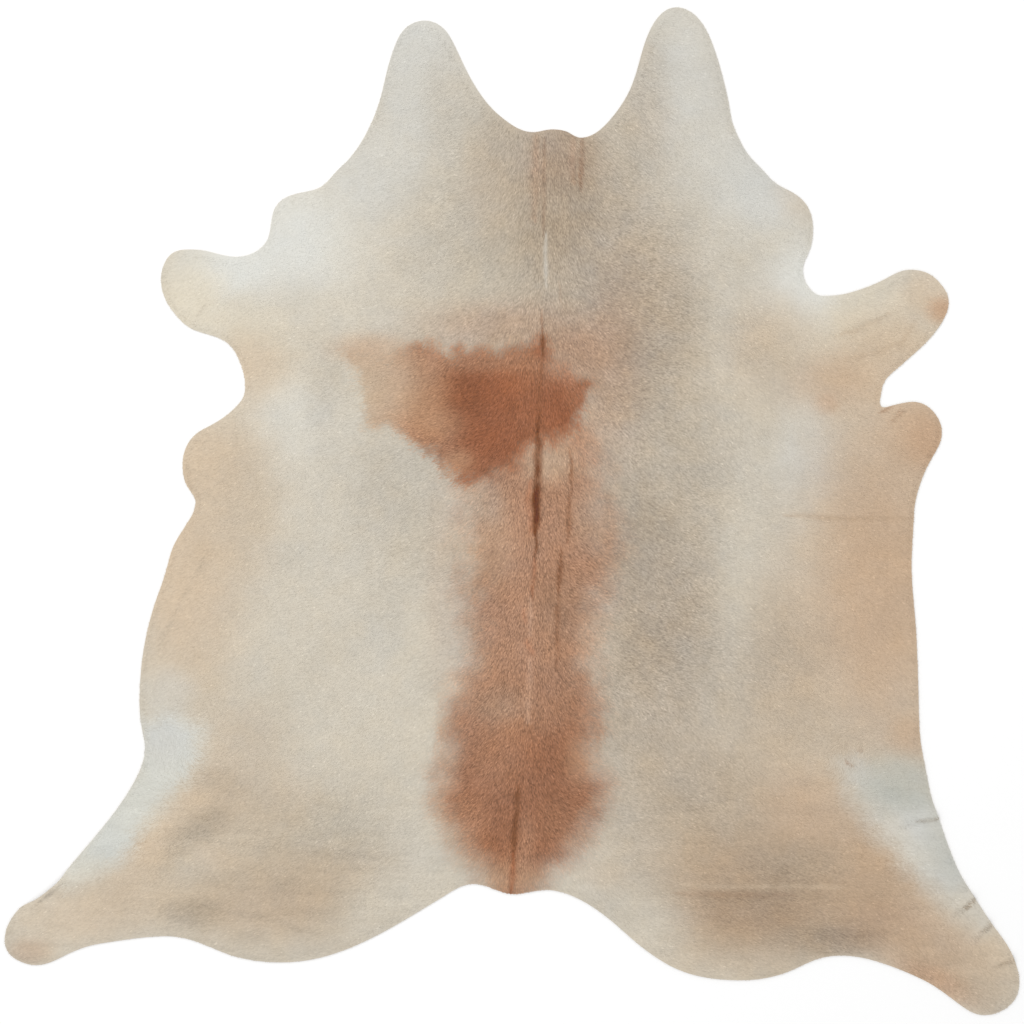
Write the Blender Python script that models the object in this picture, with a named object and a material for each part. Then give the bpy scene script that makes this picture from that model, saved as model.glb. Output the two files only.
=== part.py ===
"""Cowhide rug: one hair-on hide, cut in the shape of the whole skin, lying flat on its flesh side.

The rug is one closed solid. Its cut edge runs through named knots, from the nape round by the left side and back by
the right. Its top carries the lie of the coat, the creases and the swells, and its underside is flat but for the few
places where the edge puckers or curls. +Y is towards the neck, +Z is up, and the origin is under the rug's middle.
"""

import math
from typing import NamedTuple

import bmesh
import bpy
import numpy as np
from mathutils import Vector, geometry

MM = 0.001

# Thickness of the skin and of the coat that lies on it
LEATHER = 2.2 * MM
COAT = 2.3 * MM
COAT_AT_EDGE = 0.6 * MM
RIM = 15 * MM  # how far in the coat reaches its full depth

# Fineness of the mesh
EDGE_STEP = 17 * MM
FIELD_STEP = 62 * MM
LINE_STEP = 18 * MM
LEAST_GAP = 8 * MM  # between points by a fold or along the rim
FLANK_SHARE = 1.1  # the foot of a fold's flank, as a share of its half width
SHARP_EDGE = math.radians(40)

# Ways of a fold and of the net of triangles
FADE_SHARE = 1.5  # how far a fold fades past its ends, as a share of its half width
LEAST_LIFT = 0.1 * MM  # a smaller one is left flat on the floor
INSIDE_ONLY = 1
SAME_PLACE = 1e-7

COAT_COLOUR = (0.60, 0.54, 0.44, 1.0)
COAT_ROUGHNESS = 0.72


class Knot(NamedTuple):
    """A place on the cut edge, in millimetres from the rug's middle, and the edge's heading there in degrees."""

    across: float
    along: float
    heading: float


# The edge goes round anticlockwise, seen from above. A heading of 0 runs to +X and one of 90 to +Y.
NAPE_AND_LEFT_EAR = (
    Knot(87, 832, 180),
    Knot(46, 826, 180),
    Knot(-26, 861, 141),
    Knot(-92, 946, 119),
    Knot(-135, 1033, 119),
    Knot(-190, 1069, 180),
    Knot(-239, 1045, 232),
    Knot(-257, 1009, 249),
    Knot(-282, 918, 257),
    Knot(-325, 810, 240),
    Knot(-375, 748, 221),
)
LEFT_SHOULDER = (
    Knot(-426, 702, 199),
    Knot(-479, 689, 198),
    Knot(-511, 669, 231),
    Knot(-540, 581, 230),
    Knot(-602, 554, 180),
)
LEFT_FORELEG = (
    Knot(-655, 564, 164),
    Knot(-711, 570, 182),
    Knot(-750, 553, 234),
    Knot(-765, 504, 270),
    Knot(-741, 438, 307),
    Knot(-701, 399, 331),
    Knot(-621, 367, 322),
    Knot(-593, 325, 292),
    Knot(-582, 277, 270),
    Knot(-588, 244, 235),
    Knot(-658, 186, 208),
    Knot(-691, 166, 222),
    Knot(-718, 102, 270),
    Knot(-706, 51, 303),
    Knot(-690, 20, 272),
)
LEFT_FLANK = (
    Knot(-711, -31, 238),
    Knot(-744, -93, 255),
    Knot(-769, -175, 249),
    Knot(-812, -416, 270),
    Knot(-807, -473, 281),
    Knot(-800, -517, 270),
    Knot(-826, -595, 241),
)
LEFT_HIND_LEG = (
    Knot(-948, -756, 230),
    Knot(-981, -798, 237),
    Knot(-1010, -826, 220),
    Knot(-1057, -856, 200),
    Knot(-1086, -881, 234),
    Knot(-1106, -935, 270),
    Knot(-1086, -974, 327),
    Knot(-1038, -990, 0),
    Knot(-977, -970, 27),
    Knot(-898, -943, 9),
    Knot(-763, -927, 2),
)
RUMP = (
    Knot(-669, -946, 337),
    Knot(-593, -974, 347),
    Knot(-397, -968, 17),
    Knot(-157, -845, 31),
    Knot(-87, -813, 3),
    Knot(4, -835, 0),
    Knot(74, -826, 0),
    Knot(148, -847, 333),
    Knot(246, -919, 318),
    Knot(344, -991, 332),
    Knot(499, -1023, 0),
    Knot(606, -1003, 22),
    Knot(654, -981, 22),
)
RIGHT_HIND_LEG = (
    Knot(802, -984, 342),
    Knot(900, -1024, 333),
    Knot(971, -1072, 323),
    Knot(1029, -1099, 0),
    Knot(1081, -1081, 38),
    Knot(1106, -1029, 90),
    Knot(1088, -962, 115),
    Knot(1042, -894, 124),
    Knot(992, -817, 123),
    Knot(926, -658, 110),
)
RIGHT_FLANK = (
    Knot(913, -619, 103),
    Knot(894, -523, 101),
    Knot(887, -438, 91),
    Knot(881, -264, 93),
    Knot(871, -120, 90),
    Knot(876, -9, 88),
    Knot(894, 71, 69),
    Knot(918, 120, 59),
    Knot(937, 172, 90),
    Knot(920, 215, 130),
    Knot(876, 238, 180),
    Knot(812, 226, 191),
)
RIGHT_FORELEG = (
    Knot(802, 235, 90),
    Knot(809, 276, 70),
    Knot(833, 305, 42),
    Knot(935, 408, 58),
    Knot(952, 456, 90),
    Knot(923, 507, 136),
    Knot(868, 526, 180),
    Knot(814, 506, 208),
    Knot(737, 476, 196),
    Knot(676, 469, 180),
)
RIGHT_SHOULDER = (
    Knot(646, 489, 128),
    Knot(634, 528, 90),
    Knot(645, 560, 64),
    Knot(656, 613, 90),
    Knot(637, 674, 131),
    Knot(595, 703, 155),
    Knot(554, 735, 129),
)
RIGHT_EAR = (
    Knot(519, 772, 130),
    Knot(486, 831, 115),
    Knot(471, 896, 102),
    Knot(440, 1009, 110),
    Knot(405, 1075, 133),
    Knot(358, 1098, 180),
    Knot(311, 1066, 237),
    Knot(257, 918, 245),
    Knot(214, 853, 229),
    Knot(173, 819, 205),
    Knot(148, 814, 180),
    Knot(122, 826, 156),
)
CUT_EDGE = (
    NAPE_AND_LEFT_EAR
    + LEFT_SHOULDER
    + LEFT_FORELEG
    + LEFT_FLANK
    + LEFT_HIND_LEG
    + RUMP
    + RIGHT_HIND_LEG
    + RIGHT_FLANK
    + RIGHT_FORELEG
    + RIGHT_SHOULDER
    + RIGHT_EAR
)


class Fold(NamedTuple):
    """A line from one place to another, in millimetres, with its sideways bow, half width and height."""

    across: float
    along: float
    to_across: float
    to_along: float
    bow: float
    half_width: float
    height: float


# Soft ridges in the coat where the skin once creased
CREASES = (
    Fold(-689, -711, -262, -750, -6, 11, 2.2),
    Fold(-695, -850, -375, -931, 8, 12, 2.0),
    Fold(320, -813, 641, -813, 4, 12, 2.0),
    Fold(342, -850, 541, -839, -3, 10, 1.6),
    Fold(641, -13, 876, -15, 3, 10, 1.6),
    Fold(-654, -81, -761, -288, -8, 9, 1.6),
    Fold(728, 403, 831, 438, 0, 9, 1.6),
    Fold(802, 214, 857, 235, -4, 8, 2.2),
    Fold(824, 192, 848, 220, 0, 8, 1.8),
    Fold(-693, 412, -665, 451, 0, 8, 1.5),
    Fold(-641, 384, -595, 399, 0, 8, 1.5),
)

# Places where the edge itself stands off the floor, so that the underside lifts too
PUCKERS = (
    Fold(930, -664, 857, -678, 0, 10, 5.0),
    Fold(1012, -838, 974, -868, 0, 10, 5.0),
    Fold(1046, -892, 1018, -918, 0, 10, 4.0),
    Fold(1097, -974, 1060, -985, 0, 10, 4.0),
    Fold(-978, -806, -1032, -848, -6, 14, 4.5),
)


class Swell(NamedTuple):
    """A broad rise in the hide: its middle, its reach each way and its height, in millimetres."""

    across: float
    along: float
    reach_across: float
    reach_along: float
    height: float


SWELLS = (
    Swell(-480, -815, 240, 60, 1.6),
    Swell(560, -865, 260, 70, 1.5),
    Swell(0, 300, 90, 520, 0.8),
    Swell(-10, -560, 110, 300, 0.8),
    Swell(-640, 130, 120, 110, 0.9),
    Swell(810, 60, 120, 160, 0.9),
)


def clear_scene() -> None:
    """Empties the scene."""
    for obj in list(bpy.data.objects):
        bpy.data.objects.remove(obj, do_unlink=True)


def stretch_of_edge(start: Knot, end: Knot) -> list[Vector]:
    """The cut edge from one knot up to the next, as near to an arc as their headings allow."""
    first = Vector((start.across, start.along)) * MM
    last = Vector((end.across, end.along)) * MM
    chord = last - first
    bearing = math.atan2(chord.y, chord.x)
    turns = [math.remainder(math.radians(knot.heading) - bearing, math.tau) for knot in (start, end)]
    handle = chord.length / (3 * math.cos(sum(map(abs, turns)) / 4) ** 2)
    leaving, arriving = (Vector((math.cos(a), math.sin(a))) for a in (bearing + turns[0], bearing + turns[1]))
    steps = max(2, math.ceil(chord.length / EDGE_STEP))
    curve = geometry.interpolate_bezier(first, first + leaving * handle, last - arriving * handle, last, steps + 1)
    return [Vector(point[:2]) for point in curve[:-1]]


def cut_edge() -> np.ndarray:
    """The whole cut edge, an array of places whose box is centred on the origin."""
    places = [place for pair in zip(CUT_EDGE, CUT_EDGE[1:] + CUT_EDGE[:1]) for place in stretch_of_edge(*pair)]
    edge = np.array([place[:] for place in places])
    return edge - (edge.min(axis=0) + edge.max(axis=0)) / 2


def segment_reach(places: np.ndarray, start: np.ndarray, end: np.ndarray) -> tuple[np.ndarray, np.ndarray]:
    """How far each place is along a segment, as a share of it, and how far off to its left."""
    run = end - start
    share = (places - start) @ run / (run @ run)
    aside = ((places - start) @ np.array((-run[1], run[0]))) / math.hypot(*run)
    return share, aside


def distance_inside(places: np.ndarray, edge: np.ndarray) -> np.ndarray:
    """Each place's distance from the cut edge, negative outside it."""
    nearest = np.full(len(places), np.inf)
    inside = np.zeros(len(places), bool)
    for start, end in zip(edge, np.roll(edge, -1, axis=0)):
        share, _ = segment_reach(places, start, end)
        foot = start + np.clip(share, 0, 1)[:, None] * (end - start)
        nearest = np.minimum(nearest, np.linalg.norm(places - foot, axis=1))
        if start[1] != end[1]:
            crossing = start[0] + (places[:, 1] - start[1]) * (end[0] - start[0]) / (end[1] - start[1])
            spans = (places[:, 1] < start[1]) != (places[:, 1] < end[1])
            inside ^= spans & (places[:, 0] < crossing)
    return np.where(inside, nearest, -nearest)


def fold_ends(fold: Fold) -> tuple[np.ndarray, np.ndarray]:
    """Where a fold starts and ends, in metres."""
    return np.array((fold.across, fold.along)) * MM, np.array((fold.to_across, fold.to_along)) * MM


def fold_height(fold: Fold, places: np.ndarray) -> np.ndarray:
    """The height that a crease or pucker adds at each place: a ridge that fades at both its ends."""
    start, end = fold_ends(fold)
    share, aside = segment_reach(places, start, end)
    aside = aside - fold.bow * MM * np.sin(math.pi * np.clip(share, 0, 1))
    past = np.maximum(np.abs(share - 0.5) - 0.5, 0) * np.linalg.norm(end - start)
    reach = fold.half_width * MM
    return fold.height * MM * np.exp(-((aside / reach) ** 2) - (past / (FADE_SHARE * reach)) ** 2)


def swell_height(swell: Swell, places: np.ndarray) -> np.ndarray:
    """The height that a broad rise adds at each place."""
    centre = np.array((swell.across, swell.along)) * MM
    off = (places - centre) / (np.array((swell.reach_across, swell.reach_along)) * MM)
    return swell.height * MM * np.exp(-(off**2).sum(axis=1))


def underside_height(places: np.ndarray) -> np.ndarray:
    """The height of the flesh side: on the floor but where the edge puckers."""
    lift = sum(fold_height(pucker, places) for pucker in PUCKERS)
    return np.where(lift < LEAST_LIFT, 0.0, lift)


def top_height(places: np.ndarray, edge: np.ndarray) -> np.ndarray:
    """The height of the coat's surface, which thins out towards the cut edge."""
    share = np.clip(distance_inside(places, edge) / RIM, 0, 1)
    rim = share * share * (3 - 2 * share)
    coat = COAT_AT_EDGE + (COAT - COAT_AT_EDGE) * rim
    folds = sum(fold_height(crease, places) for crease in CREASES)
    swells = sum(swell_height(swell, places) for swell in SWELLS)
    return underside_height(places) + LEATHER + coat + (folds + swells) * rim


def points_by_fold(fold: Fold) -> np.ndarray:
    """Mesh points on a fold's crest and at the foot of both its flanks."""
    start, end = fold_ends(fold)
    run = end - start
    length = math.hypot(*run)
    share = np.linspace(0, 1, max(3, round(length / LINE_STEP)))
    left = np.array((-run[1], run[0])) / length
    bow = fold.bow * MM * np.sin(math.pi * share)
    foot = FLANK_SHARE * fold.half_width * MM
    return np.concatenate([start + share[:, None] * run + (bow + aside)[:, None] * left for aside in (0, -foot, foot)])


def rim_points(edge: np.ndarray) -> np.ndarray:
    """A row of mesh points just inside the edge, where the coat has its full depth."""
    run = np.roll(edge, -1, axis=0) - np.roll(edge, 1, axis=0)
    inward = np.stack([-run[:, 1], run[:, 0]], axis=1) / np.linalg.norm(run, axis=1)[:, None]
    return (edge + inward * RIM)[::2]


def field_points(edge: np.ndarray) -> np.ndarray:
    """Mesh points spread evenly over the rug's box, in staggered rows."""
    low, high = edge.min(axis=0), edge.max(axis=0)
    rows = np.arange(low[1], high[1], FIELD_STEP * math.sqrt(0.75))
    return np.array(
        [
            (across, along)
            for number, along in enumerate(rows)
            for across in np.arange(low[0] + (number % 2) * FIELD_STEP / 2, high[0], FIELD_STEP)
        ]
    )


def inner_points(edge: np.ndarray) -> np.ndarray:
    """The mesh points inside the edge. Those by folds come first, and no later one crowds an earlier one."""
    by_folds = np.concatenate([points_by_fold(fold) for fold in CREASES + PUCKERS])
    groups = ((by_folds, LEAST_GAP, LEAST_GAP), (rim_points(edge), 0.9 * RIM, LEAST_GAP))
    groups += ((field_points(edge), 2 * RIM, 2 * RIM),)
    kept = np.empty((0, 2))
    for places, from_edge, apart in groups:
        for place in places[distance_inside(places, edge) > from_edge]:
            if np.all(np.linalg.norm(kept - place, axis=1) > apart):
                kept = np.concatenate([kept, place[None]])
    return kept


def flat_net(edge: np.ndarray) -> bmesh.types.BMesh:
    """The hide's outline filled with triangles, all in one plane."""
    loop = list(range(len(edge)))
    sides = list(zip(loop, loop[1:] + loop[:1]))
    places = [Vector(place) for place in np.concatenate([edge, inner_points(edge)])]
    places, _, triangles, *_ = geometry.delaunay_2d_cdt(places, sides, [loop], INSIDE_ONLY, SAME_PLACE)
    net = bmesh.new()
    corners = [net.verts.new((place.x, place.y, 0)) for place in places]
    for triangle in triangles:
        net.faces.new([corners[index] for index in triangle])
    return net


def places_of(verts: list[bmesh.types.BMVert]) -> np.ndarray:
    """Where the vertices lie, seen from above."""
    return np.array([vert.co.xy[:] for vert in verts])


def build_hide() -> bpy.types.Object:
    """The hide as one closed solid: the flat net, given its underside, its thickness and then its relief."""
    edge = cut_edge()
    body = flat_net(edge)
    flesh_side = body.verts[:]
    hair_side = bmesh.ops.extrude_face_region(body, geom=body.faces[:])["geom"]
    hair_side = [item for item in hair_side if isinstance(item, bmesh.types.BMVert)]
    for vert, height in zip(hair_side, top_height(places_of(hair_side), edge)):
        vert.co.z = height
    for vert, height in zip(flesh_side, underside_height(places_of(flesh_side))):
        vert.co.z = height
    bmesh.ops.recalc_face_normals(body, faces=body.faces[:])
    mesh = bpy.data.meshes.new("hide")
    body.to_mesh(mesh)
    body.free()
    mesh.shade_smooth()
    mesh.set_sharp_from_angle(angle=SHARP_EDGE)
    hide = bpy.data.objects.new("hide", mesh)
    bpy.context.scene.collection.objects.link(hide)
    return hide


def coat_material() -> bpy.types.Material:
    """The colour and dull gloss of the hair-on side."""
    material = bpy.data.materials.new("hide coat")
    material.use_nodes = True
    shader = material.node_tree.nodes["Principled BSDF"]
    shader.inputs["Base Color"].default_value = COAT_COLOUR
    shader.inputs["Roughness"].default_value = COAT_ROUGHNESS
    shader.inputs["Metallic"].default_value = 0.0
    material.diffuse_color = COAT_COLOUR
    return material


clear_scene()
build_hide().data.materials.append(coat_material())
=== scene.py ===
"""Cowhide rug, dressed: a hair-on hide with its coat, its flat-lying locks, its raw edge and its suede side.

The hide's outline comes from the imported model. Everything else is worked out from the sizes below, in metres,
or in millimetres where a name or a note says so. +Y is towards the neck and +Z is up out of the coat.
"""

import logging
import math
from dataclasses import dataclass, field
from enum import Enum, IntEnum
from typing import NamedTuple

import bmesh
import bpy
import numpy as np
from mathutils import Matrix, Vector, geometry, kdtree


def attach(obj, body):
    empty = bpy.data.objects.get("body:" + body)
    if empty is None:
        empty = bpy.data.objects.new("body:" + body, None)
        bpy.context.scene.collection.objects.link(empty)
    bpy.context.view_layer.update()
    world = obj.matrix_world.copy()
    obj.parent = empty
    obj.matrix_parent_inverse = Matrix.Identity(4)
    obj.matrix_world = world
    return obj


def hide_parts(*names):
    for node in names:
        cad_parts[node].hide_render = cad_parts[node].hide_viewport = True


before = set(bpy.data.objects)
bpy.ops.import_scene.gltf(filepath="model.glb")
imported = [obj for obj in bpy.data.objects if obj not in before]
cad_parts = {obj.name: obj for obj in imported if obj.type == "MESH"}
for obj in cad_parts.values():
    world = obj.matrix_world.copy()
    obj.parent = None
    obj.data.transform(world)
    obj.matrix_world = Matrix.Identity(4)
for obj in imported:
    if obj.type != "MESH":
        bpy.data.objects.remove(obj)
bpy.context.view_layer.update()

LOG = logging.getLogger("cowhide rug")

Array = np.ndarray
Place = tuple[float, float]
Colour = tuple[float, float, float, float]
Socket = bpy.types.NodeSocket

MM = 0.001
HIDE_NODE = "hide"
BODY = "root"

# Thickness of the skin and of the coat that lies on it
LEATHER = 2.2 * MM
COAT = 2.3 * MM
COAT_AT_EDGE = 0.6 * MM
RIM = 15 * MM
FADE_SHARE = 1.5
LEAST_LIFT = 0.1 * MM

# The few locks whose tone is above this are paler by this share
PALE_HAIR_TONE = 0.985
PALE_HAIR_GAIN = 0.12

# What the coat sends back of the light: by the hair's own colour, and off its sheen
LIGHT_LEVEL = 1.09
SHEEN_LIGHT = 0.026
LEAST_COLOUR = 0.004

# How a screen turns its values into light
SCREEN_TOE = 0.04045
SCREEN_TOE_SLOPE = 12.92
SCREEN_SHIFT = 0.055
SCREEN_POWER = 2.4

# How sharply a wash ends, and how many chance values a noise has each way
WASH_POWER = 1.5
NOISE_SIDE = 512

BAKE_MAP = "OFBake"
COAT_COLOUR = "coat_colour"
LIE = "lie"
ROOM = "room"
ROOT = "root"
TONE = "tone"
STRAND = "strand"


class NoiseSeed(IntEnum):
    """The set of chance values behind each uneven thing on the rug."""

    TUFTS = 3
    FINE_TUFTS = 4
    COCKLES = 11
    HAIR_SWAY = 21
    LIGHT_DRIFTS = 50
    WARM_DRIFTS = 60
    CRINKLES = 70
    STREAK_ACROSS = 81
    STREAK_ALONG = 82
    STREAK_STRENGTH = 83


class LockSeed(IntEnum):
    """The set of chance values behind each thing that differs from lock to lock."""

    TONE = 1
    YAW = 2
    LENGTH = 3
    WIDTH = 4
    FIRST_AREA = 40


class Tint(Enum):
    """A colour of hair in plain daylight: red, green and blue out of 255, then how far single locks stray."""

    MILK = (222, 222, 216, 0.00)
    CHALK = (209, 208, 202, 0.04)
    ASH = (187, 187, 177, 0.02)
    CREAM = (208, 200, 185, 0.09)
    BUTTER = (222, 213, 194, 0.04)
    PEACH = (211, 191, 166, 0.08)
    SAND = (200, 182, 159, 0.10)
    TAN = (198, 171, 144, 0.10)
    GINGER = (194, 156, 124, 0.14)
    GREIGE = (190, 180, 164, 0.20)
    ROAN = (178, 164, 147, 0.32)
    DUSK = (168, 152, 133, 0.33)
    SLATE = (160, 149, 134, 0.24)
    FAWN = (174, 134, 108, 0.42)
    ROSE = (200, 163, 138, 0.30)
    COPPER = (186, 134, 104, 0.30)
    RUST = (156, 110, 84, 0.42)
    CHESTNUT = (149, 95, 68, 0.32)
    UMBER = (124, 83, 59, 0.30)
    BAY = (106, 62, 39, 0.30)
    FROST = (213, 213, 205, 0.02)
    HAZEL = (178, 153, 127, 0.16)

    @property
    def dye(self) -> Array:
        """The tint as shares of one, with its straying last."""
        red, green, blue, stray = self.value
        return np.array((red / 255, green / 255, blue / 255, stray))


@dataclass(frozen=True)
class Wash:
    """A soft-edged patch of one tint, with its middle and reaches in millimetres and its turn in degrees."""

    tint: Tint
    across: float
    along: float
    reach_across: float
    reach_along: float
    turn: float = 0.0
    strength: float = 1.0

    def share(self, places: Array) -> Array:
        """How far the tint covers each place.

        Args:
            places: Places on the rug, one to a row.

        Returns:
            Shares from 0 to 1.
        """
        angle = math.radians(self.turn)
        off = places / MM - np.array((self.across, self.along))
        lengthwise = off @ np.array((math.cos(angle), math.sin(angle))) / self.reach_across
        sideways = off @ np.array((-math.sin(angle), math.cos(angle))) / self.reach_along
        return self.strength * np.exp(-((lengthwise**2 + sideways**2) ** WASH_POWER))


@dataclass(frozen=True)
class Streak:
    """A narrow, uneven line of one tint along a course of places, in millimetres, finer at both its ends."""

    tint: Tint
    course: tuple[Place, ...]
    half_width: float
    strength: float
    wander: float = 2.2
    wander_pitch: float = 24.0
    taper: float = 7.0
    end_width: float = 0.35
    uneven: float = 0.35
    uneven_pitch: float = 14.0

    def share(self, places: Array) -> Array:
        """How far the tint covers each place.

        Args:
            places: Places on the rug, one to a row.

        Returns:
            Shares from 0 to 1.
        """
        course = np.array(self.course) * MM
        reach = (3 * self.half_width + self.wander) * MM
        near = np.all((places > course.min(axis=0) - reach) & (places < course.max(axis=0) + reach), axis=1)
        share = np.zeros(len(places))
        share[near] = self.share_near(places[near], course)
        return share

    def share_near(self, places: Array, course: Array) -> Array:
        """How far the tint covers places near the line, which sways a little and breaks up.

        Args:
            places: Places near the line, one to a row.
            course: The line's own places, in metres.

        Returns:
            Shares from 0 to 1.
        """
        seeds = (NoiseSeed.STREAK_ACROSS, NoiseSeed.STREAK_ALONG)
        sway = np.stack([soft_noise(places, self.wander_pitch * MM, seed) for seed in seeds], axis=1)
        swayed = places + self.wander * MM * sway
        nearest = np.full(len(places), np.inf)
        for start, end in zip(course, course[1:]):
            nearest = np.minimum(nearest, distance_to_segment(swayed, start, end))
        to_end = np.minimum(*(np.linalg.norm(swayed - end, axis=1) for end in (course[0], course[-1])))
        fullness = smooth_step(to_end / (self.taper * self.half_width * MM))
        half_width = self.half_width * MM * (self.end_width + (1 - self.end_width) * fullness)
        uneven = 1 + self.uneven * soft_noise(places, self.uneven_pitch * MM, NoiseSeed.STREAK_STRENGTH)
        return np.clip(self.strength * uneven, 0, 1) * np.exp(-((nearest / half_width) ** 2))


@dataclass(frozen=True)
class Marking:
    """A patch with an outline of its own, in millimetres, whose tufts stray across it into the coat."""

    tint: Tint
    outline: tuple[Place, ...]
    feather: float
    ragged: float
    washes: tuple[Wash, ...] = ()
    start: float = 0.5
    scatter: float = 12.0
    tuft_pitch: float = 30.0
    fine_tuft_pitch: float = 11.0
    fine_tufts: float = 0.35

    def depth(self, places: Array) -> Array:
        """Each place's distance inside the outline, negative outside it.

        Args:
            places: Places on the rug, one to a row.

        Returns:
            Distances in metres.
        """
        outline = np.array(self.outline) * MM
        nearest = np.full(len(places), np.inf)
        inside = np.zeros(len(places), bool)
        for start, end in zip(outline, np.roll(outline, -1, axis=0)):
            nearest = np.minimum(nearest, distance_to_segment(places, start, end))
            if start[1] != end[1]:
                crossing = start[0] + (places[:, 1] - start[1]) * (end[0] - start[0]) / (end[1] - start[1])
                spans = (places[:, 1] < start[1]) != (places[:, 1] < end[1])
                inside ^= spans & (places[:, 0] < crossing)
        return np.where(inside, nearest, -nearest)

    def share(self, places: Array, straying: Array) -> Array:
        """How far the marking covers each place.

        Args:
            places: Places on the rug, one to a row.
            straying: A chance value from -1 to 1 for each place, which carries single locks across the edge.

        Returns:
            Shares from 0 to 1.
        """
        tufts = (1 - self.fine_tufts) * soft_noise(places, self.tuft_pitch * MM, NoiseSeed.TUFTS)
        tufts += self.fine_tufts * soft_noise(places, self.fine_tuft_pitch * MM, NoiseSeed.FINE_TUFTS)
        depth = self.depth(places) + (self.ragged * tufts + self.scatter * straying) * MM
        return smooth_step(depth / (self.feather * MM) + self.start)


class Fold(NamedTuple):
    """A line from one place to another, in millimetres, with its sideways bow, half width and height."""

    across: float
    along: float
    to_across: float
    to_along: float
    bow: float
    half_width: float
    height: float


class Swell(NamedTuple):
    """A broad rise in the hide: its middle, its reach each way and its height, in millimetres."""

    across: float
    along: float
    reach_across: float
    reach_along: float
    height: float


class Whorl(NamedTuple):
    """A place where the hair turns round: its middle and reach in millimetres and its turn in degrees."""

    across: float
    along: float
    reach: float
    spin: float


# Soft ridges in the coat where the skin once creased, as in the solid
CREASES = (
    Fold(-689, -711, -262, -750, -6, 11, 2.2),
    Fold(-695, -850, -375, -931, 8, 12, 2.0),
    Fold(320, -813, 641, -813, 4, 12, 2.0),
    Fold(342, -850, 541, -839, -3, 10, 1.6),
    Fold(641, -13, 876, -15, 3, 10, 1.6),
    Fold(-654, -81, -761, -288, -8, 9, 1.6),
    Fold(728, 403, 831, 438, 0, 9, 1.6),
    Fold(802, 214, 857, 235, -4, 8, 2.2),
    Fold(824, 192, 848, 220, 0, 8, 1.8),
    Fold(-693, 412, -665, 451, 0, 8, 1.5),
    Fold(-641, 384, -595, 399, 0, 8, 1.5),
)

# Fainter lines that only the coat shows, as furrows
FURROWS = (
    Fold(-590, 205, -588, 152, 2, 6, -0.8),
    Fold(54, 170, 52, -55, 0, 5, -0.9),
    Fold(133, 180, 100, -270, 5, 6, -0.6),
    Fold(20, -600, 6, -815, 0, 6, -0.7),
    Fold(74, 800, 72, 470, 2, 7, -0.5),
    Fold(-620, -640, -470, -655, -6, 16, -0.7),
    Fold(-640, -905, -430, -885, 8, 16, -0.7),
    Fold(420, -905, 640, -890, 6, 16, -0.6),
    Fold(660, 60, 880, 76, 4, 12, -0.5),
)

# Places where the edge itself stands off the floor, so that the underside lifts too
PUCKERS = (
    Fold(930, -664, 857, -678, 0, 10, 5.0),
    Fold(1012, -838, 974, -868, 0, 10, 5.0),
    Fold(1046, -892, 1018, -918, 0, 10, 4.0),
    Fold(1097, -974, 1060, -985, 0, 10, 4.0),
    Fold(-978, -806, -1032, -848, -6, 14, 4.5),
)

SWELLS = (
    Swell(-480, -815, 240, 60, 1.6),
    Swell(560, -865, 260, 70, 1.5),
    Swell(0, 300, 90, 520, 0.8),
    Swell(-10, -560, 110, 300, 0.8),
    Swell(-640, 130, 120, 110, 0.9),
    Swell(810, 60, 120, 160, 0.9),
)

# The back's line from the root of the tail to the nape, in millimetres: how far along, then across
SPINE = ((-830, 4), (-600, 20), (-200, 40), (300, 61), (830, 74))

WHORLS = (Whorl(733, -548, 60, 150), Whorl(-738, -536, 60, -150))

GROUND_TINT = Tint.CREAM

NECK_WASHES = (
    Wash(Tint.GREIGE, 80, 560, 290, 420, 0, 0.85),
    Wash(Tint.ROAN, 150, 560, 150, 330, 0, 0.75),
    Wash(Tint.DUSK, 105, 690, 90, 170, 0, 0.7),
    Wash(Tint.HAZEL, -40, 720, 70, 130, 0, 0.25),
    Wash(Tint.DUSK, -30, 800, 70, 90, 0, 0.25),
    Wash(Tint.ROAN, 520, 370, 60, 70, 0, 0.45),
    Wash(Tint.FAWN, 100, 780, 80, 80, 0, 0.2),
    Wash(Tint.ROAN, 270, 430, 130, 190, 0, 0.85),
    Wash(Tint.FAWN, 235, 430, 60, 130, 0, 0.1),
    Wash(Tint.FAWN, 0, 400, 200, 60, 0, 0.4),
    Wash(Tint.FAWN, 135, 340, 80, 60, 0, 0.6),
    Wash(Tint.GINGER, -300, 355, 90, 34, 0, 0.5),
    Wash(Tint.FAWN, 215, 260, 70, 180, 0, 0.6),
    Wash(Tint.CHALK, -190, 960, 120, 190, 0, 0.85),
    Wash(Tint.CHALK, 365, 960, 110, 200, 0, 0.7),
    Wash(Tint.GREIGE, 262, 860, 45, 90, 0, 0.4),
    Wash(Tint.GREIGE, -130, 880, 60, 130, 0, 0.45),
    Wash(Tint.ROAN, 290, 870, 60, 120, 10, 0.35),
    Wash(Tint.SAND, 285, 1000, 24, 36, 0, 0.25),
    Wash(Tint.GREIGE, 300, 960, 40, 90, 0, 0.4),
)
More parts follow.
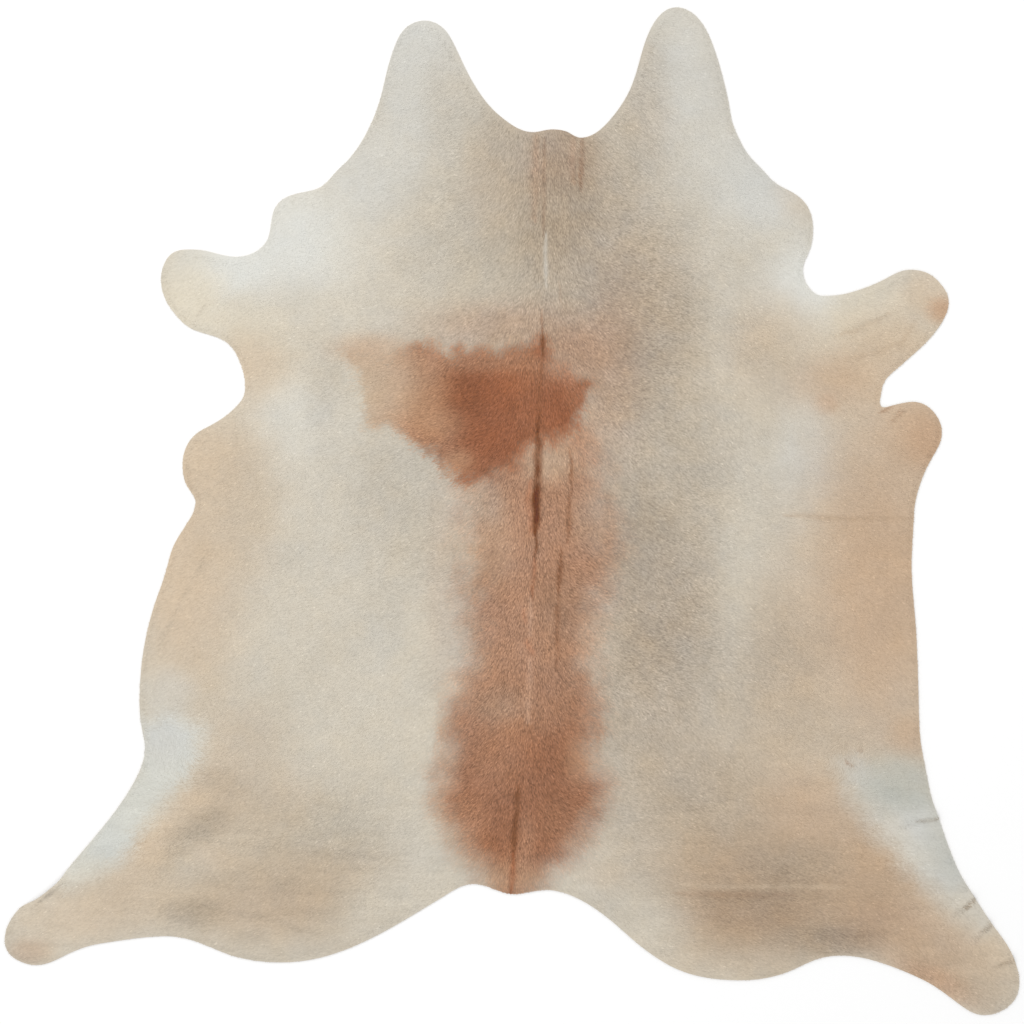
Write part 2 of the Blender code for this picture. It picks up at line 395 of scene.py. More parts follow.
SHOULDER_WASHES = (
    Wash(Tint.CHALK, -310, 740, 110, 110, 30, 0.7),
    Wash(Tint.MILK, -470, 600, 150, 130, -20, 0.8),
    Wash(Tint.MILK, -620, 530, 120, 65, 0, 0.95),
    Wash(Tint.BUTTER, -700, 470, 80, 80, 0, 0.85),
    Wash(Tint.BUTTER, -600, 400, 110, 60, 0, 0.6),
    Wash(Tint.PEACH, -575, 310, 90, 80, 0, 0.65),
    Wash(Tint.MILK, -462, 200, 100, 90, 0, 0.5),
    Wash(Tint.GREIGE, -400, 250, 50, 130, 0, 0.35),
    Wash(Tint.PEACH, -670, 110, 100, 100, 0, 0.8),
    Wash(Tint.SAND, -600, 10, 100, 190, 0, 0.6),
    Wash(Tint.CHALK, 520, 720, 140, 110, -30, 0.85),
    Wash(Tint.PEACH, 620, 680, 60, 40, -40, 0.3),
    Wash(Tint.MILK, 640, 500, 90, 90, 0, 0.95),
    Wash(Tint.BUTTER, 760, 430, 110, 60, 20, 0.7),
    Wash(Tint.SAND, 570, 350, 100, 130, 0, 0.6),
    Wash(Tint.PEACH, 800, 330, 150, 100, 30, 0.8),
    Wash(Tint.PEACH, 905, 480, 60, 50, 0, 0.7),
    Wash(Tint.GINGER, 935, 440, 34, 30, 0, 0.7),
    Wash(Tint.TAN, 690, 280, 90, 60, 10, 0.6),
    Wash(Tint.GINGER, 683, 235, 26, 24, 0, 0.5),
    Wash(Tint.CHALK, 640, 130, 70, 120, 0, 0.65),
)
FLANK_WASHES = (
    Wash(Tint.GREIGE, -230, 60, 110, 260, 0, 0.5),
    Wash(Tint.FAWN, -140, -150, 45, 260, 0, 0.15),
    Wash(Tint.PEACH, -715, -150, 120, 270, 4, 0.95),
    Wash(Tint.CHALK, -745, -395, 60, 60, 0, 0.5),
    Wash(Tint.SAND, -590, -490, 100, 80, 0, 0.55),
    Wash(Tint.ROAN, 300, -150, 170, 620, 0, 0.85),
    Wash(Tint.GREIGE, 400, 60, 130, 200, 0, 0.6),
    Wash(Tint.DUSK, 320, -200, 110, 200, 0, 0.3),
    Wash(Tint.CREAM, 505, -110, 60, 180, 0, 0.7),
    Wash(Tint.SAND, 590, -330, 80, 260, 0, 0.75),
    Wash(Tint.ROAN, 560, -380, 110, 170, 0, 0.4),
    Wash(Tint.TAN, 800, -150, 170, 400, 0, 0.95),
    Wash(Tint.TAN, 890, 170, 90, 100, 0, 0.9),
    Wash(Tint.GINGER, 905, 150, 50, 60, 0, 0.4),
)
HAUNCH_WASHES = (
    Wash(Tint.GREIGE, -450, -720, 230, 140, 0, 0.6),
    Wash(Tint.SAND, -560, -630, 130, 100, 0, 0.6),
    Wash(Tint.PEACH, -660, -620, 80, 90, 0, 0.8),
    Wash(Tint.PEACH, -790, -740, 60, 140, -42, 0.8),
    Wash(Tint.SAND, -500, -850, 260, 110, 0, 0.85),
    Wash(Tint.HAZEL, -420, -800, 200, 80, 0, 0.15),
    # Painted shade: a darker band along the lower crease of the left haunch
    Wash(Tint.HAZEL, -530, -865, 200, 50, 0, 0.22),
    Wash(Tint.PEACH, -900, -870, 190, 70, 10, 0.7),
    Wash(Tint.SLATE, -690, -700, 95, 36, 42, 0.4),
    Wash(Tint.SLATE, -640, -590, 60, 40, 0, 0.3),
    # Painted shade: the darker band below the upper crease of the left haunch
    Wash(Tint.SLATE, -620, -800, 190, 30, -3, 0.12),
    Wash(Tint.SLATE, -650, -680, 50, 34, -6, 0.15),
    Wash(Tint.TAN, -845, -695, 60, 40, -42, 0.3),
    Wash(Tint.PEACH, -650, -750, 60, 30, -10, 0.5),
    # Painted shade at the start of the left haunch's lower crease
    Wash(Tint.SLATE, -700, -872, 70, 34, -5, 0.38),
    Wash(Tint.SAND, 520, -720, 280, 280, 0, 0.8),
    Wash(Tint.SAND, 640, -560, 110, 150, 0, 0.45),
    Wash(Tint.TAN, 625, -655, 105, 95, 0, 0.65),
    Wash(Tint.DUSK, 440, -640, 110, 130, 0, 0.4),
    Wash(Tint.HAZEL, 530, -850, 200, 125, 0, 0.9),
    Wash(Tint.TAN, 790, -800, 130, 170, 30, 0.8),
    Wash(Tint.HAZEL, 780, -790, 150, 130, 30, 0.35),
    Wash(Tint.HAZEL, 490, -740, 150, 60, 0, 0.25),
    Wash(Tint.SLATE, 650, -765, 100, 44, 0, 0.28),
    Wash(Tint.SLATE, 730, -928, 90, 28, 0, 0.2),
    Wash(Tint.FAWN, 530, -875, 170, 44, 0, 0.08),
    Wash(Tint.DUSK, 700, -932, 120, 36, 0, 0.5),
    Wash(Tint.UMBER, 715, -935, 100, 34, 0, 0.06),
    Wash(Tint.UMBER, 810, -905, 110, 55, 0, 0.14),
    Wash(Tint.DUSK, 545, -815, 130, 70, 0, 0.3),
    Wash(Tint.TAN, 865, -490, 50, 50, 0, 0.7),
    Wash(Tint.ASH, 840, -570, 80, 44, -8, 0.7),
    Wash(Tint.TAN, 930, -960, 140, 80, -20, 0.7),
    Wash(Tint.HAZEL, 930, -985, 130, 60, -30, 0.35),
    Wash(Tint.FAWN, 930, -1030, 110, 34, -24, 0.38),
    Wash(Tint.GINGER, -1050, -960, 50, 30, 0, 0.35),
    Wash(Tint.SAND, 1040, -1010, 70, 90, 0, 0.6),
    Wash(Tint.CREAM, 270, -900, 110, 90, -20, 0.8),
    Wash(Tint.SAND, 195, -790, 60, 30, -10, 0.4),
    Wash(Tint.CREAM, -250, -860, 150, 90, 20, 0.9),
)
WASHES = NECK_WASHES + SHOULDER_WASHES + FLANK_WASHES + HAUNCH_WASHES

BACK_BAND = Marking(
    Tint.FAWN,
    (
        (-70, 130), (-104, 68), (-104, -41), (-98, -113), (-98, -185), (-90, -259), (-98, -331), (-124, -403),
        (-130, -470), (190, -470), (184, -403), (172, -331), (180, -259), (204, -185), (222, -113),
        (228, -41), (196, 68), (170, 190), (60, 200),
    ),
    feather=120,
    ragged=20,
    start=0.45,
    washes=(
        Wash(Tint.SAND, 80, 110, 60, 50, 0, 0.55),
        Wash(Tint.TAN, -40, -80, 50, 90, 0, 0.4),
        Wash(Tint.ROAN, -60, 20, 50, 60, 0, 0.45),
        Wash(Tint.ROAN, 175, -15, 50, 70, 0, 0.4),
        Wash(Tint.SLATE, 130, -215, 80, 80, 0, 0.2),
        Wash(Tint.UMBER, 105, -190, 50, 80, 0, 0.14),
    ),
)
RUMP_PATCH = Marking(
    Tint.RUST,
    (
        (-100, -400), (-135, -447), (-140, -521), (-161, -558), (-153, -593), (-157, -630), (-146, -665),
        (-133, -702), (-111, -739), (-74, -774), (-60, -811), (-20, -850), (30, -850), (70, -811), (94, -775),
        (132, -742), (158, -702), (182, -665), (196, -630), (205, -593), (179, -558), (170, -521),
        (180, -447), (140, -400), (40, -380),
    ),
    feather=110,
    ragged=12,
    start=0.46,
    washes=(
        Wash(Tint.FAWN, 30, -717, 20, 60, 0, 0.5),
        Wash(Tint.TAN, 0, -795, 100, 34, 0, 0.5),
        Wash(Tint.FAWN, 20, -420, 160, 70, 0, 0.8),
        Wash(Tint.FAWN, -50, -520, 80, 90, 0, 0.5),
        Wash(Tint.FAWN, 110, -680, 60, 60, 0, 0.3),
        Wash(Tint.ROAN, -30, -410, 60, 50, 0, 0.3),
        Wash(Tint.GINGER, 150, -545, 40, 60, 0, 0.4),
        Wash(Tint.SAND, -138, -545, 30, 60, 0, 0.25),
        Wash(Tint.FAWN, -98, -675, 50, 60, 0, 0.5),
        Wash(Tint.FAWN, 15, -765, 40, 34, 0, 0.35),
    ),
)
SHOULDER_PATCH = Marking(
    Tint.RUST,
    (
        (-353, 340), (-264, 330), (-249, 342), (-194, 366), (-179, 374), (-159, 360), (-140, 344), (-98, 356),
        (-55, 356), (-9, 356), (31, 362), (44, 372), (68, 374), (78, 352), (82, 327), (107, 314), (140, 296),
        (172, 286), (156, 262), (150, 236), (148, 205), (124, 170), (84, 156), (46, 152), (26, 136),
        (7, 98), (-55, 76), (-107, 68), (-135, 92), (-170, 128), (-220, 150), (-262, 182), (-308, 192),
        (-325, 264),
    ),
    feather=38,
    ragged=16,
    washes=(
        Wash(Tint.CHESTNUT, -60, 240, 110, 90, 0, 0.95),
        Wash(Tint.CHESTNUT, 70, 355, 24, 22, 0, 0.8),
        Wash(Tint.CHESTNUT, -30, 150, 90, 60, 0, 0.9),
        Wash(Tint.CHESTNUT, -100, 90, 40, 34, 0, 0.7),
        Wash(Tint.CHESTNUT, 110, 225, 80, 70, 0, 0.95),
        Wash(Tint.UMBER, 108, 236, 46, 42, 0, 0.12),
        Wash(Tint.RUST, 142, 262, 30, 44, 0, 0.6),
        Wash(Tint.UMBER, -92, 242, 60, 40, 0, 0.12),
        Wash(Tint.FAWN, 120, 310, 70, 26, 0, 0.5),
        Wash(Tint.FAWN, -70, 330, 150, 26, 0, 0.6),
        Wash(Tint.FAWN, -185, 340, 50, 40, 0, 0.5),
        Wash(Tint.FAWN, -180, 150, 70, 40, -24, 0.5),
        Wash(Tint.FAWN, -240, 280, 80, 140, 0, 0.5),
        Wash(Tint.TAN, -300, 260, 90, 140, 0, 0.7),
        Wash(Tint.ROSE, -270, 270, 60, 90, 0, 0.35),
        Wash(Tint.SAND, -350, 250, 80, 150, 0, 0.8),
        Wash(Tint.GINGER, -190, 255, 55, 80, 0, 0.55),
        Wash(Tint.GINGER, -152, 190, 50, 36, 0, 0.45),
        Wash(Tint.GINGER, -116, 108, 36, 28, 0, 0.55),
        Wash(Tint.SAND, -262, 290, 55, 90, 0, 0.42),
    ),
)
LEFT_GROIN = Marking(
    Tint.FROST,
    (
        (-811, -456), (-735, -445), (-674, -473), (-680, -532), (-706, -582), (-756, -630), (-789, -678),
        (-822, -728), (-859, -765), (-909, -787), (-964, -809), (-985, -783), (-898, -663), (-822, -565),
    ),
    feather=70,
    ragged=10,
    washes=(
        Wash(Tint.CHALK, -760, -500, 70, 60, 0, 0.8),
        Wash(Tint.BUTTER, -930, -800, 70, 50, 0, 0.4),
    ),
)
RIGHT_GROIN = Marking(
    Tint.CHALK,
    (
        (712, -552), (722, -590), (742, -636), (776, -685), (812, -724), (852, -772), (896, -815),
        (968, -868), (1030, -905), (1086, -804), (933, -620), (905, -600), (846, -580), (770, -562),
    ),
    feather=80,
    ragged=9,
    scatter=6,
    washes=(
        Wash(Tint.CREAM, 815, -690, 190, 38, -51, 0.75),
        Wash(Tint.ASH, 850, -600, 90, 55, -10, 0.9),
        Wash(Tint.ASH, 960, -740, 60, 90, 30, 0.5),
        Wash(Tint.CREAM, 1000, -870, 60, 60, 0, 0.7),
        Wash(Tint.MILK, 860, -750, 100, 36, -46, 0.35),
    ),
)
MARKINGS = (BACK_BAND, RUMP_PATCH, SHOULDER_PATCH, LEFT_GROIN, RIGHT_GROIN)

# Streaks of the hair's own colour, and among them lines of painted shade along creases, folds and puckers, with
# one painted highlight on a crease
STREAKS_AND_PAINTED_FOLD_SHADING = (
    Streak(Tint.UMBER, ((66, 342), (67, 400)), 6.0, 0.75),
    Streak(Tint.UMBER, ((66, 400), (66, 440)), 6.0, 0.3),
    Streak(Tint.UMBER, ((66, 345), (62, 300), (57, 160)), 5.0, 0.4),
    Streak(Tint.COPPER, ((42, 70), (35, 20), (42, -40)), 14.0, 0.75),
    Streak(Tint.BAY, ((57, 176), (56, 130), (56, 45), (51, -48)), 8.0, 0.78, taper=4.0),
    Streak(Tint.BAY, ((51, 45), (50, -50)), 8.0, 0.8, taper=3.0),
    Streak(Tint.BAY, ((58, 215), (57, 170)), 5.0, 0.3),
    Streak(Tint.UMBER, ((52, -52), (51, -110)), 5.0, 0.55),
    Streak(Tint.UMBER, ((53, -42), (51, -82)), 5.0, 0.8),
    Streak(Tint.RUST, ((51, -88), (44, -195)), 4.5, 0.75),
    Streak(Tint.ROSE, ((40, -190), (39, -270)), 10.0, 0.4),
    Streak(Tint.COPPER, ((30, -282), (44, -306)), 16.0, 0.6),
    Streak(Tint.COPPER, ((26, -212), (30, -240)), 12.0, 0.5),
    Streak(Tint.ROSE, ((40, -325), (34, -460)), 15.0, 0.45),
    Streak(Tint.UMBER, ((122, 135), (129, 110), (129, 40)), 5.0, 0.5),
    Streak(Tint.UMBER, ((126, 40), (121, -30), (119, -65)), 7.5, 0.45),
    Streak(Tint.UMBER, ((107, -80), (100, -180)), 5.0, 0.7),
    Streak(Tint.UMBER, ((99, -180), (96, -345)), 6.0, 0.35),
    Streak(Tint.UMBER, ((13, -595), (7, -700), (5, -750)), 7.0, 0.75, taper=4.0),
    Streak(Tint.CHESTNUT, ((5, -740), (-4, -840)), 8.0, 0.7),
    Streak(Tint.FAWN, ((52, 815), (50, 640)), 20.0, 0.25),
    Streak(Tint.FAWN, ((132, 815), (132, 720)), 16.0, 0.25),
    Streak(Tint.UMBER, ((70, 820), (68, 600)), 5.0, 0.16),
    Streak(Tint.UMBER, ((152, 825), (148, 700)), 5.5, 0.3),
    Streak(Tint.CHALK, ((73, 610), (76, 488)), 5.0, 0.45),
    Streak(Tint.UMBER, ((103, 500), (104, 460)), 4.0, 0.2),
    # Painted shade: faint dark lines along the two creases of the left haunch
    Streak(Tint.SLATE, ((-689, -716), (-470, -722), (-270, -758)), 5.0, 0.12),
    Streak(Tint.SLATE, ((-695, -856), (-540, -885), (-375, -936)), 5.0, 0.12),
    # Along the right haunch's crease: a painted highlight on its ridge, then a line of painted shade below it
    Streak(Tint.PEACH, ((366, -815), (540, -817), (726, -818)), 6.0, 0.35),
    Streak(Tint.UMBER, ((350, -832), (470, -836), (614, -838)), 8.0, 0.1),
    # Painted shade along the crease of the right flank
    Streak(Tint.HAZEL, ((590, -8), (700, -15), (876, -14)), 6.5, 0.3),
    # Painted shade: faint dark lines along the creases of the left side, the left foreleg and the right foreleg
    Streak(Tint.SLATE, ((-660, -84), (-767, -290)), 5.0, 0.12),
    Streak(Tint.SLATE, ((-705, 96), (-625, 58)), 4.0, 0.15),
    Streak(Tint.SLATE, ((-693, 412), (-665, 451)), 5.0, 0.15),
    Streak(Tint.SLATE, ((728, 398), (831, 433)), 5.0, 0.1),
    # Painted shade in the two creases at the right foreleg's notch
    Streak(Tint.UMBER, ((800, 214), (832, 230)), 3.4, 0.3, wander=0.8, taper=3.0),
    Streak(Tint.UMBER, ((824, 193), (848, 222)), 3.4, 0.22, wander=0.8, taper=3.0),
    # Painted shade: soft darker lines along the folds of the right foreleg
    Streak(Tint.HAZEL, ((700, 380), (760, 400), (820, 432)), 6.0, 0.2),
    Streak(Tint.HAZEL, ((840, 350), (880, 420)), 6.0, 0.18),
    Streak(Tint.HAZEL, ((700, 330), (790, 345), (850, 372)), 7.0, 0.14),
    # Painted shade under the puckers of the left and right hind legs
    Streak(Tint.SLATE, ((-978, -810), (-1030, -850)), 5.0, 0.4),
    Streak(Tint.SLATE, ((930, -668), (880, -676)), 7.0, 0.4),
    Streak(Tint.UMBER, ((728, -549), (742, -556)), 3.5, 0.3, taper=2.0),
    Streak(Tint.UMBER, ((752, -522), (760, -526)), 3.0, 0.2, taper=2.0),
    # Painted shade under the puckers at the edge of the right hind leg
    Streak(Tint.DUSK, ((1012, -842), (982, -864)), 8.0, 0.6),
    Streak(Tint.DUSK, ((1046, -898), (1022, -916)), 8.0, 0.4),
    Streak(Tint.DUSK, ((1095, -980), (1066, -986)), 8.0, 0.45),
)


def smooth_step(share: Array) -> Array:
    """Eases shares from 0 to 1, and holds them there outside that range."""
    share = np.clip(share, 0, 1)
    return share * share * (3 - 2 * share)


def distance_to_segment(places: Array, start: Array, end: Array) -> Array:
    """Each place's distance from a straight line between two places.

    Args:
        places: Places, one to a row.
        start: One end of the line.
        end: Its other end.

    Returns:
        Distances, one for each place.
    """
    run = end - start
    share = np.clip((places - start) @ run / (run @ run), 0, 1)
    return np.linalg.norm(places - start - share[:, None] * run, axis=1)


def soft_noise(places: Array, pitch: float, seed: int) -> Array:
    """Smooth chance values over the rug.

    Args:
        places: Places, one to a row.
        pitch: Distance between the chance values that are smoothed.
        seed: Which set of chance values.

    Returns:
        Values from -1 to 1, one for each place.
    """
    table = np.random.default_rng(int(seed)).uniform(-1, 1, (NOISE_SIDE, NOISE_SIDE))
    cells = np.floor(places / pitch).astype(int)
    across, along = (places / pitch - cells).T
    across, along = smooth_step(across), smooth_step(along)
    low_i, low_j = cells.T % NOISE_SIDE
    high_i, high_j = (low_i + 1) % NOISE_SIDE, (low_j + 1) % NOISE_SIDE
    near = table[low_i, low_j] * (1 - across) + table[high_i, low_j] * across
    far = table[low_i, high_j] * (1 - across) + table[high_i, high_j] * across
    return near * (1 - along) + far * along


@dataclass(frozen=True)
class CoatChart:
    """The colours of the coat, with painted shade and highlights along its creases and puckers: a ground, soft
    washes, outlined markings and streaks, in that order.
    """

    ground: Tint = GROUND_TINT
    washes: tuple[Wash, ...] = WASHES
    markings: tuple[Marking, ...] = MARKINGS
    streaks: tuple[Streak, ...] = STREAKS_AND_PAINTED_FOLD_SHADING
    drifts: tuple[tuple[float, float], ...] = ((95 * MM, 0.45), (42 * MM, 0.35), (19 * MM, 0.3))
    mottle_least: float = 0.008
    mottle_by_stray: float = 0.07
    most_stray: float = 0.3
    light_swing: float = 2.0
    red_swing: float = 0.7
    blue_swing: float = 1.1
    crinkle: float = 0.018
    crinkle_pitch: float = 9 * MM
    crinkle_run: float = 0.11
    crinkle_line: float = -450 * MM
    crinkle_fade: float = 250 * MM

    def mottle(self, places: Array, stray: Array) -> Array:
        """Drifts of lighter and redder hair, stronger where the locks stray, and crinkles over the haunches.

        Args:
            places: Places on the rug, one to a row.
            stray: How far single locks stray from the colour at each place.

        Returns:
            Factors for red, green and blue, one row for each place.
        """
        drift, warm = (
            sum(share * soft_noise(places, pitch, first + k) for k, (pitch, share) in enumerate(self.drifts))
            for first in (NoiseSeed.LIGHT_DRIFTS, NoiseSeed.WARM_DRIFTS)
        )
        amount = self.mottle_least + self.mottle_by_stray * np.minimum(stray, self.most_stray)
        haunches = smooth_step((self.crinkle_line - places[:, 1]) / self.crinkle_fade)
        run = places * np.array((self.crinkle_run, 1.0))
        lines = soft_noise(run, self.crinkle_pitch, NoiseSeed.CRINKLES) * self.crinkle * haunches
        light = 1 + self.light_swing * amount * drift + lines
        warm = amount * warm
        red, blue = light * (1 + self.red_swing * warm), light * (1 - self.blue_swing * warm)
        return np.stack([red, light, blue], axis=1)

    def seen(self, places: Array, straying: Array | float = 0.0) -> Array:
        """The coat's look in plain daylight, with the painted shade and highlights of its creases and puckers.

        Args:
            places: Places on the rug, one to a row.
            straying: A chance value from -1 to 1 for each place, which carries locks across a marking's edge.

        Returns:
            Red, green, blue and the straying of locks, one row for each place.
        """
        look = np.tile(self.ground.dye, (len(places), 1))
        for wash in self.washes:
            look = blend(look, wash.tint.dye, wash.share(places))
        for marking in self.markings:
            fill = np.tile(marking.tint.dye, (len(places), 1))
            for wash in marking.washes:
                fill = blend(fill, wash.tint.dye, wash.share(places))
            look = blend(look, fill, marking.share(places, straying))
        for streak in self.streaks:
            look = blend(look, streak.tint.dye, streak.share(places))
        look[:, :3] *= self.mottle(places, look[:, 3])
        return look

    def paint(self, places: Array, tone: Array | float = 0.5) -> Array:
        """The coat's base colour.

        Args:
            places: Places on the rug, one to a row.
            tone: A chance value from 0 to 1 for each place, which makes a lock darker or lighter.

        Returns:
            Linear red, green, blue and the straying of locks, one row for each place.
        """
        look = self.seen(places, 2 * tone - 1)
        shade = 1 + look[:, 3] * (2 * tone - 1) + PALE_HAIR_GAIN * (tone > PALE_HAIR_TONE)
        colour = (linear(look[:, :3]) * shade[:, None] - SHEEN_LIGHT) / LIGHT_LEVEL
        return np.column_stack([np.maximum(colour, LEAST_COLOUR), look[:, 3]])


def blend(under: Array, over: Array, share: Array) -> Array:
    """One look laid over another by a share for each place."""
    return under + (over - under) * share[:, None]


def linear(display: Array) -> Array:
    """Screen colours turned into amounts of light."""
    bright = ((display + SCREEN_SHIFT) / (1 + SCREEN_SHIFT)) ** SCREEN_POWER
    return np.where(display <= SCREEN_TOE, display / SCREEN_TOE_SLOPE, bright)


@dataclass
class CutEdge:
    """The rug's cut edge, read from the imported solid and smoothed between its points."""

    node: bpy.types.Object
    parts_of_a_side: int = 4
    sample_step: float = 1.0 * MM
    weld: float = 0.01 * MM
    faces_down: float = -0.5

    def __post_init__(self) -> None:
        """Reads the edge and readies the search for the nearest place on it."""
        self.loop = self.smoothed(self.read())
        self.samples = self.resampled(self.loop)
        run = np.roll(self.samples, -1, axis=0) - np.roll(self.samples, 1, axis=0)
        self.inward = np.stack([-run[:, 1], run[:, 0]], axis=1) / np.linalg.norm(run, axis=1)[:, None]
        self.tree = kdtree.KDTree(len(self.samples))
        for number, (across, along) in enumerate(self.samples):
            self.tree.insert((across, along, 0), number)
        self.tree.balance()

    def read(self) -> Array:
        """Finds the border of the solid's underside.

        Returns:
            Its places, anticlockwise seen from above.
        """
        net = bmesh.new()
        net.from_mesh(self.node.data)
        bmesh.ops.remove_doubles(net, verts=net.verts, dist=self.weld)
        follows = {}
        for face in net.faces:
            if face.normal.z > self.faces_down:
                continue
            for corner in face.loops:
                if any(other.normal.z > self.faces_down for other in corner.edge.link_faces):
                    follows[corner.vert] = corner.link_loop_next.vert
        here = start = next(iter(follows))
        places = []
        while not places or here != start:
            places.append(here.co.xy[:])
            here = follows[here]
        net.free()
        return np.array(places[::-1])

    def smoothed(self, corners: Array) -> Array:
        """A smooth closed curve through the corners.

        Args:
            corners: The solid's own edge places.

        Returns:
            Places along the curve, parts_of_a_side for each side.
        """
        after = np.roll(corners, -1, axis=0)
        side = np.linalg.norm(after - corners, axis=1)[:, None]
        lean = (after - np.roll(corners, 1, axis=0)) / (side + np.roll(side, 1, axis=0))
        lean_after = np.roll(lean, -1, axis=0)
        places = []
        for part in np.arange(self.parts_of_a_side) / self.parts_of_a_side:
            ease = part * part * (3 - 2 * part)
            start_pull = part * (1 - part) ** 2
            end_pull = part * part * (part - 1)
            pull = side * (lean * start_pull + lean_after * end_pull)
            places.append(corners + (after - corners) * ease + pull)
        return np.stack(places, axis=1).reshape(-1, 2)

    def resampled(self, loop: Array) -> Array:
        """Spaces a closed curve's places evenly and closely.

        Args:
            loop: The curve's places.

        Returns:
            Places along it at the sample step.
        """
        closed = np.vstack([loop, loop[:1]])
        reach = np.concatenate([[0], np.cumsum(np.linalg.norm(np.diff(closed, axis=0), axis=1))])
        stops = np.arange(0, reach[-1], self.sample_step)
        return np.stack([np.interp(stops, reach, closed[:, axis]) for axis in (0, 1)], axis=1)

    def depth(self, places: Array) -> Array:
        """Each place's distance inside the cut edge, negative outside it.

        Args:
            places: Places, one to a row.

        Returns:
            Distances in metres.
        """
        nearest = np.array([self.tree.find((across, along, 0))[1] for across, along in places])
        off = places - self.samples[nearest]
        side = np.sign((off * self.inward[nearest]).sum(axis=1))
        return side * np.linalg.norm(off, axis=1)


@dataclass(frozen=True)
class Relief:
    """The hide's heights over the floor. The coat lies over the skin's creases and softens them."""

    edge: CutEdge
    crease_share: float = 0.35
    pucker_share: float = 0.7
    cockle_height: float = 0.35 * MM
    cockle_pitch: float = 85 * MM

    @staticmethod
    def fold_height(fold: Fold, places: Array) -> Array:
        """The height that a fold adds at each place: a ridge that fades at both its ends.

        Args:
            fold: The fold.
            places: Places, one to a row.

        Returns:
            Heights in metres.
        """
        start = np.array((fold.across, fold.along)) * MM
        run = np.array((fold.to_across, fold.to_along)) * MM - start
        length = math.hypot(*run)
        share = (places - start) @ run / length**2
        aside = (places - start) @ np.array((-run[1], run[0])) / length
        aside = aside - fold.bow * MM * np.sin(math.pi * np.clip(share, 0, 1))
        past = np.maximum(np.abs(share - 0.5) - 0.5, 0) * length
        reach = fold.half_width * MM
        return fold.height * MM * np.exp(-((aside / reach) ** 2) - (past / (FADE_SHARE * reach)) ** 2)

    @staticmethod
    def swell_height(swell: Swell, places: Array) -> Array:
        """The height that a broad rise adds at each place.

        Args:
            swell: The rise.
            places: Places, one to a row.

        Returns:
            Heights in metres.
        """
        off = places / MM - np.array((swell.across, swell.along))
        off = off / np.array((swell.reach_across, swell.reach_along))
        return swell.height * MM * np.exp(-(off**2).sum(axis=1))

    def underside(self, places: Array) -> Array:
        """The flesh side's height: on the floor but where the edge puckers."""
        lift = self.pucker_share * sum(self.fold_height(pucker, places) for pucker in PUCKERS)
        return np.where(lift < LEAST_LIFT, 0.0, lift)

    def top(self, places: Array) -> Array:
        """The height of the coat's surface, which thins out towards the cut edge.

        Args:
            places: Places, one to a row.

        Returns:
            Heights in metres.
        """
        rim = smooth_step(self.edge.depth(places) / RIM)
        coat = COAT_AT_EDGE + (COAT - COAT_AT_EDGE) * rim
        folds = self.crease_share * sum(self.fold_height(crease, places) for crease in CREASES)
        folds = folds + sum(self.fold_height(furrow, places) for furrow in FURROWS)
        swells = sum(self.swell_height(swell, places) for swell in SWELLS)
        cockles = self.cockle_height * soft_noise(places, self.cockle_pitch, NoiseSeed.COCKLES)
        return self.underside(places) + LEATHER + coat + (folds + swells + cockles) * rim


@dataclass(frozen=True)
class HairFlow:
    """Which way the hair lies: back along the spine, and out and back over the sides and legs."""

    turn_out: float = 120 * MM
    backward_share: float = 0.55
    sway: float = math.radians(14)
    sway_pitch: float = 160 * MM

    def direction(self, places: Array) -> Array:
        """The lie of the hair at each place.

        Args:
            places: Places, one to a row.

        Returns:
            Flat unit vectors, one row of three for each place.
        """
        along, across = np.array(SPINE).T * MM
        spine = np.interp(places[:, 1], along, across)
        off = places[:, 0] - spine
        outward = np.tanh(off / self.turn_out)
        backward = 1 - (1 - self.backward_share) * np.abs(outward)
        angle = np.arctan2(-backward, outward)
        angle = angle + self.sway * soft_noise(places, self.sway_pitch, NoiseSeed.HAIR_SWAY)
        for whorl in WHORLS:
            off = places / MM - np.array((whorl.across, whorl.along))
            nearness = np.exp(-(off**2).sum(axis=1) / whorl.reach**2)
            angle = angle + math.radians(whorl.spin) * nearness
        return np.stack([np.cos(angle), np.sin(angle), np.zeros(len(places))], axis=1)


